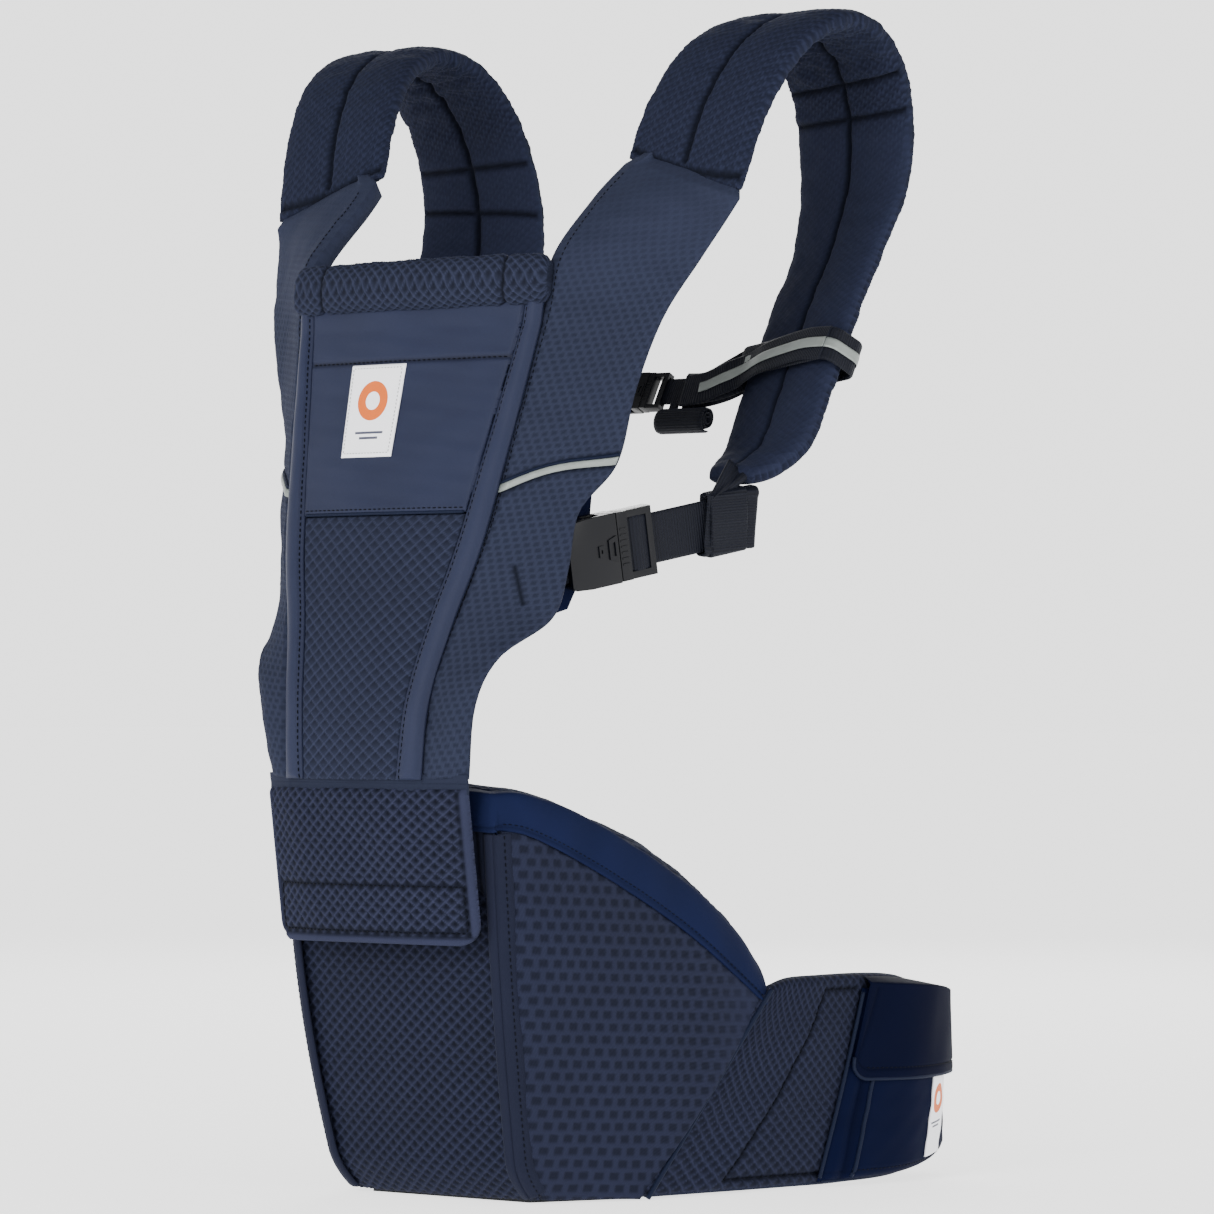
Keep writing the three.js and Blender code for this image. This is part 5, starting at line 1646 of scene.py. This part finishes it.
def pouch_front(u):
    """Share of the belt's length at the pouch's slanted front edge."""
    return mix(0.315, 0.38, u)


def pouch_depth(share):
    """How far the pouch stands off the belt, from its slanted front gusset to its back edge."""
    return POUCH_T * (0.1 + 0.9 * np.sin(np.pi / 2 * np.clip(share / 0.42, 0, 1)) ** 1.2)


def build_pouch():
    """Satin pouch on the left arm."""
    body = "seat_and_belt"
    rows, cols = 169, 105
    share = np.linspace(0, 1, rows)[:, None]
    u = np.broadcast_to(np.linspace(0.02, POUCH_TOP, cols)[None], (rows, cols))
    grid = belt_point(mix(pouch_front(u), POUCH_BACK, share), u)
    n = normals(grid, from_middle(grid))
    depth = pouch_depth(share)
    # Rounded back and lower edges, and a gusset fold near the slanted front edge.
    s, t = lengths(grid)
    q = rounding(grid, 9)
    belly = 1.6 * np.sin(np.pi * share) * np.sin(np.pi * np.linspace(0, 1, cols))[None]
    slack = 0.9 * soft_noise(s, t, 48, 91) + 0.4 * soft_noise(s, t * 0.7, 18, 92)
    gusset = -2.4 * bell(share - 0.10, 0.02) + 1.2 * bell(share - 0.045, 0.02)
    hem = bell(s - 6, 1.1)
    push = 0.6 + (depth - 0.6) * (0.25 + 0.75 * q) + (belly + slack * 0.9) * q + gusset * q - 0.6 * hem * q
    front = grid + n * push[..., None]
    # Painted shade: the slack cloth darker in its hollows and lighter on its rises, and the gusset's fold
    # painted darker.
    shade = 0.8 + 0.2 * ease(slack, -1, 1) - 0.45 * np.clip(-gusset / 2.4, 0, 1) - 0.3 * hem
    ob = cloth_piece("belt_pouch", front, grid + n * 0.6, body, ROYAL, ["pouch_body"], 8,
                     shade)
    for name, at, lift in (("pouch_front_piping", 0.0, 1.2), ("pouch_fold_piping", 0.13, 0.6)):
        line, _ = on_grid(front, n, at, np.linspace(0.02, 0.98, 90), lift)
        tube(name, line, 1.3, body, SEAM)
    line, _ = on_grid(front, n, np.linspace(0.02, 0.98, 120), 0.0, 0.2)
    tube("pouch_lower_piping", line, 1.2, body, SEAM)
    stitch_row("pouch_seam_stitches", [on_grid(front, n, np.linspace(0.14, 0.98, 200), 6 / s[100, -1], 0.2)],
               body, 2.4, 1.3, 0.3)
    build_pouch_lid()
    build_pouch_label(front, n)


def build_pouch_lid():
    """Flap with a rounded lower front corner and an inset top-stitched line."""
    rows, cols = 145, 89
    fu = np.linspace(0, 1, cols)[None]
    share = np.linspace(0, 1, rows)[:, None]
    corner, stitch_in = 13.0, 6.5

    def lid(lifted):
        """Points on the belt, with the low edge lifted by a share of the lid's height."""
        u = mix(0.5, 0.985, mix(lifted, 1.0, np.broadcast_to(fu, (rows, cols))))
        return belt_point(mix(pouch_front(u) + 0.004, POUCH_BACK + 0.02, share), u)

    s, t = lengths(lid(0.0))
    across_len = s[:, -1].mean()
    # The corner is cut round by lifting the low edge there.
    x = t / t[-1:] * t[-1].mean()
    lift = corner - np.sqrt(np.maximum(corner**2 - np.maximum(corner - x, 0) ** 2, 0))
    grid = lid(lift / across_len)
    n = normals(grid, from_middle(grid))
    depth = pouch_depth(share)
    slope = share * 3 * (1 - fu)
    low_side = np.minimum(1, (1 - fu) / 0.06)
    top_push = mix(0.4, depth + 4.6 + slope, low_side)
    low_push = mix(-0.6, depth + 2.2 + slope, low_side)
    s, t = lengths(grid)
    q = rounding(grid, 2.2)
    wave = 0.5 * soft_noise(s, t, 40, 95)
    from_edge = np.minimum(np.where(s < across_len / 2, s, np.inf), np.minimum(t, t[-1:] - t))
    inset = bell(from_edge - stitch_in, 1.0) * (fu < 0.9)
    middle = (top_push + low_push) / 2
    half = np.maximum((top_push - low_push) / 2, 0.7)
    front = grid + n * (middle + half * q + wave * q - 0.7 * inset)[..., None]
    back = grid + n * (middle - half * q)[..., None]
    # The lid is painted much darker than the pouch body, as painted shade; its slack cloth's rises are
    # painted a little lighter.
    shade = np.clip(0.35 - 0.25 * inset + 0.1 * wave, 0, 1)
    ob = cloth_piece("pouch_lid_cloth", front, back, "pouch_lid", ROYAL, ["pouch_flap"], 8,
                     shade)
    line = on_grid(front, n, np.linspace(0.06, 0.96, 140), stitch_in / across_len, 0.25)
    stitch_row("pouch_lid_stitches", [line], "pouch_lid", 2.4, 1.2, 0.3)
    edge, _ = on_grid((front + back) / 2, n, np.linspace(0, 1, 150), 0.0, 0)
    tube("pouch_lid_binding", edge, 1.25, "pouch_lid", SEAM)


def build_pouch_label(front, n):
    """It lies low on the middle of the pouch."""
    rows, cols = 13, 41
    v, u = np.meshgrid(np.linspace(0.50, 0.64, rows), np.linspace(0.07, 0.52, cols), indexing="ij")
    spot, up = (g.reshape(rows, cols, 3) for g in on_grid(front, n, v.ravel(), u.ravel()))
    ob = cloth_piece("belt_label", spot + up * 1.3, spot + up * 0.2, "seat_and_belt", LABEL,
                     ["pouch_label"])
    # The mark, drawn for the pocket's label, turns upright and shrinks to this label's width.
    layer = ob.data.uv_layers[0].data
    uv = np.empty(2 * len(layer))
    layer.foreach_get("uv", uv)
    uv = np.stack([0.0063 + 1.35 * uv[1::2], 1.35 * uv[::2] - 0.013], -1)
    layer.foreach_set("uv", uv.ravel())


build_front_panel()
build_head_roll()
for side, sign in SIDES:
    build_band(side, sign)
    build_wing(side, sign)
    build_lining(side, sign)
    build_pad(side, sign)
    build_strap_hardware(side, sign)
build_chest()
build_seat()
build_flap()
build_fold()
build_belt()
build_pouch()
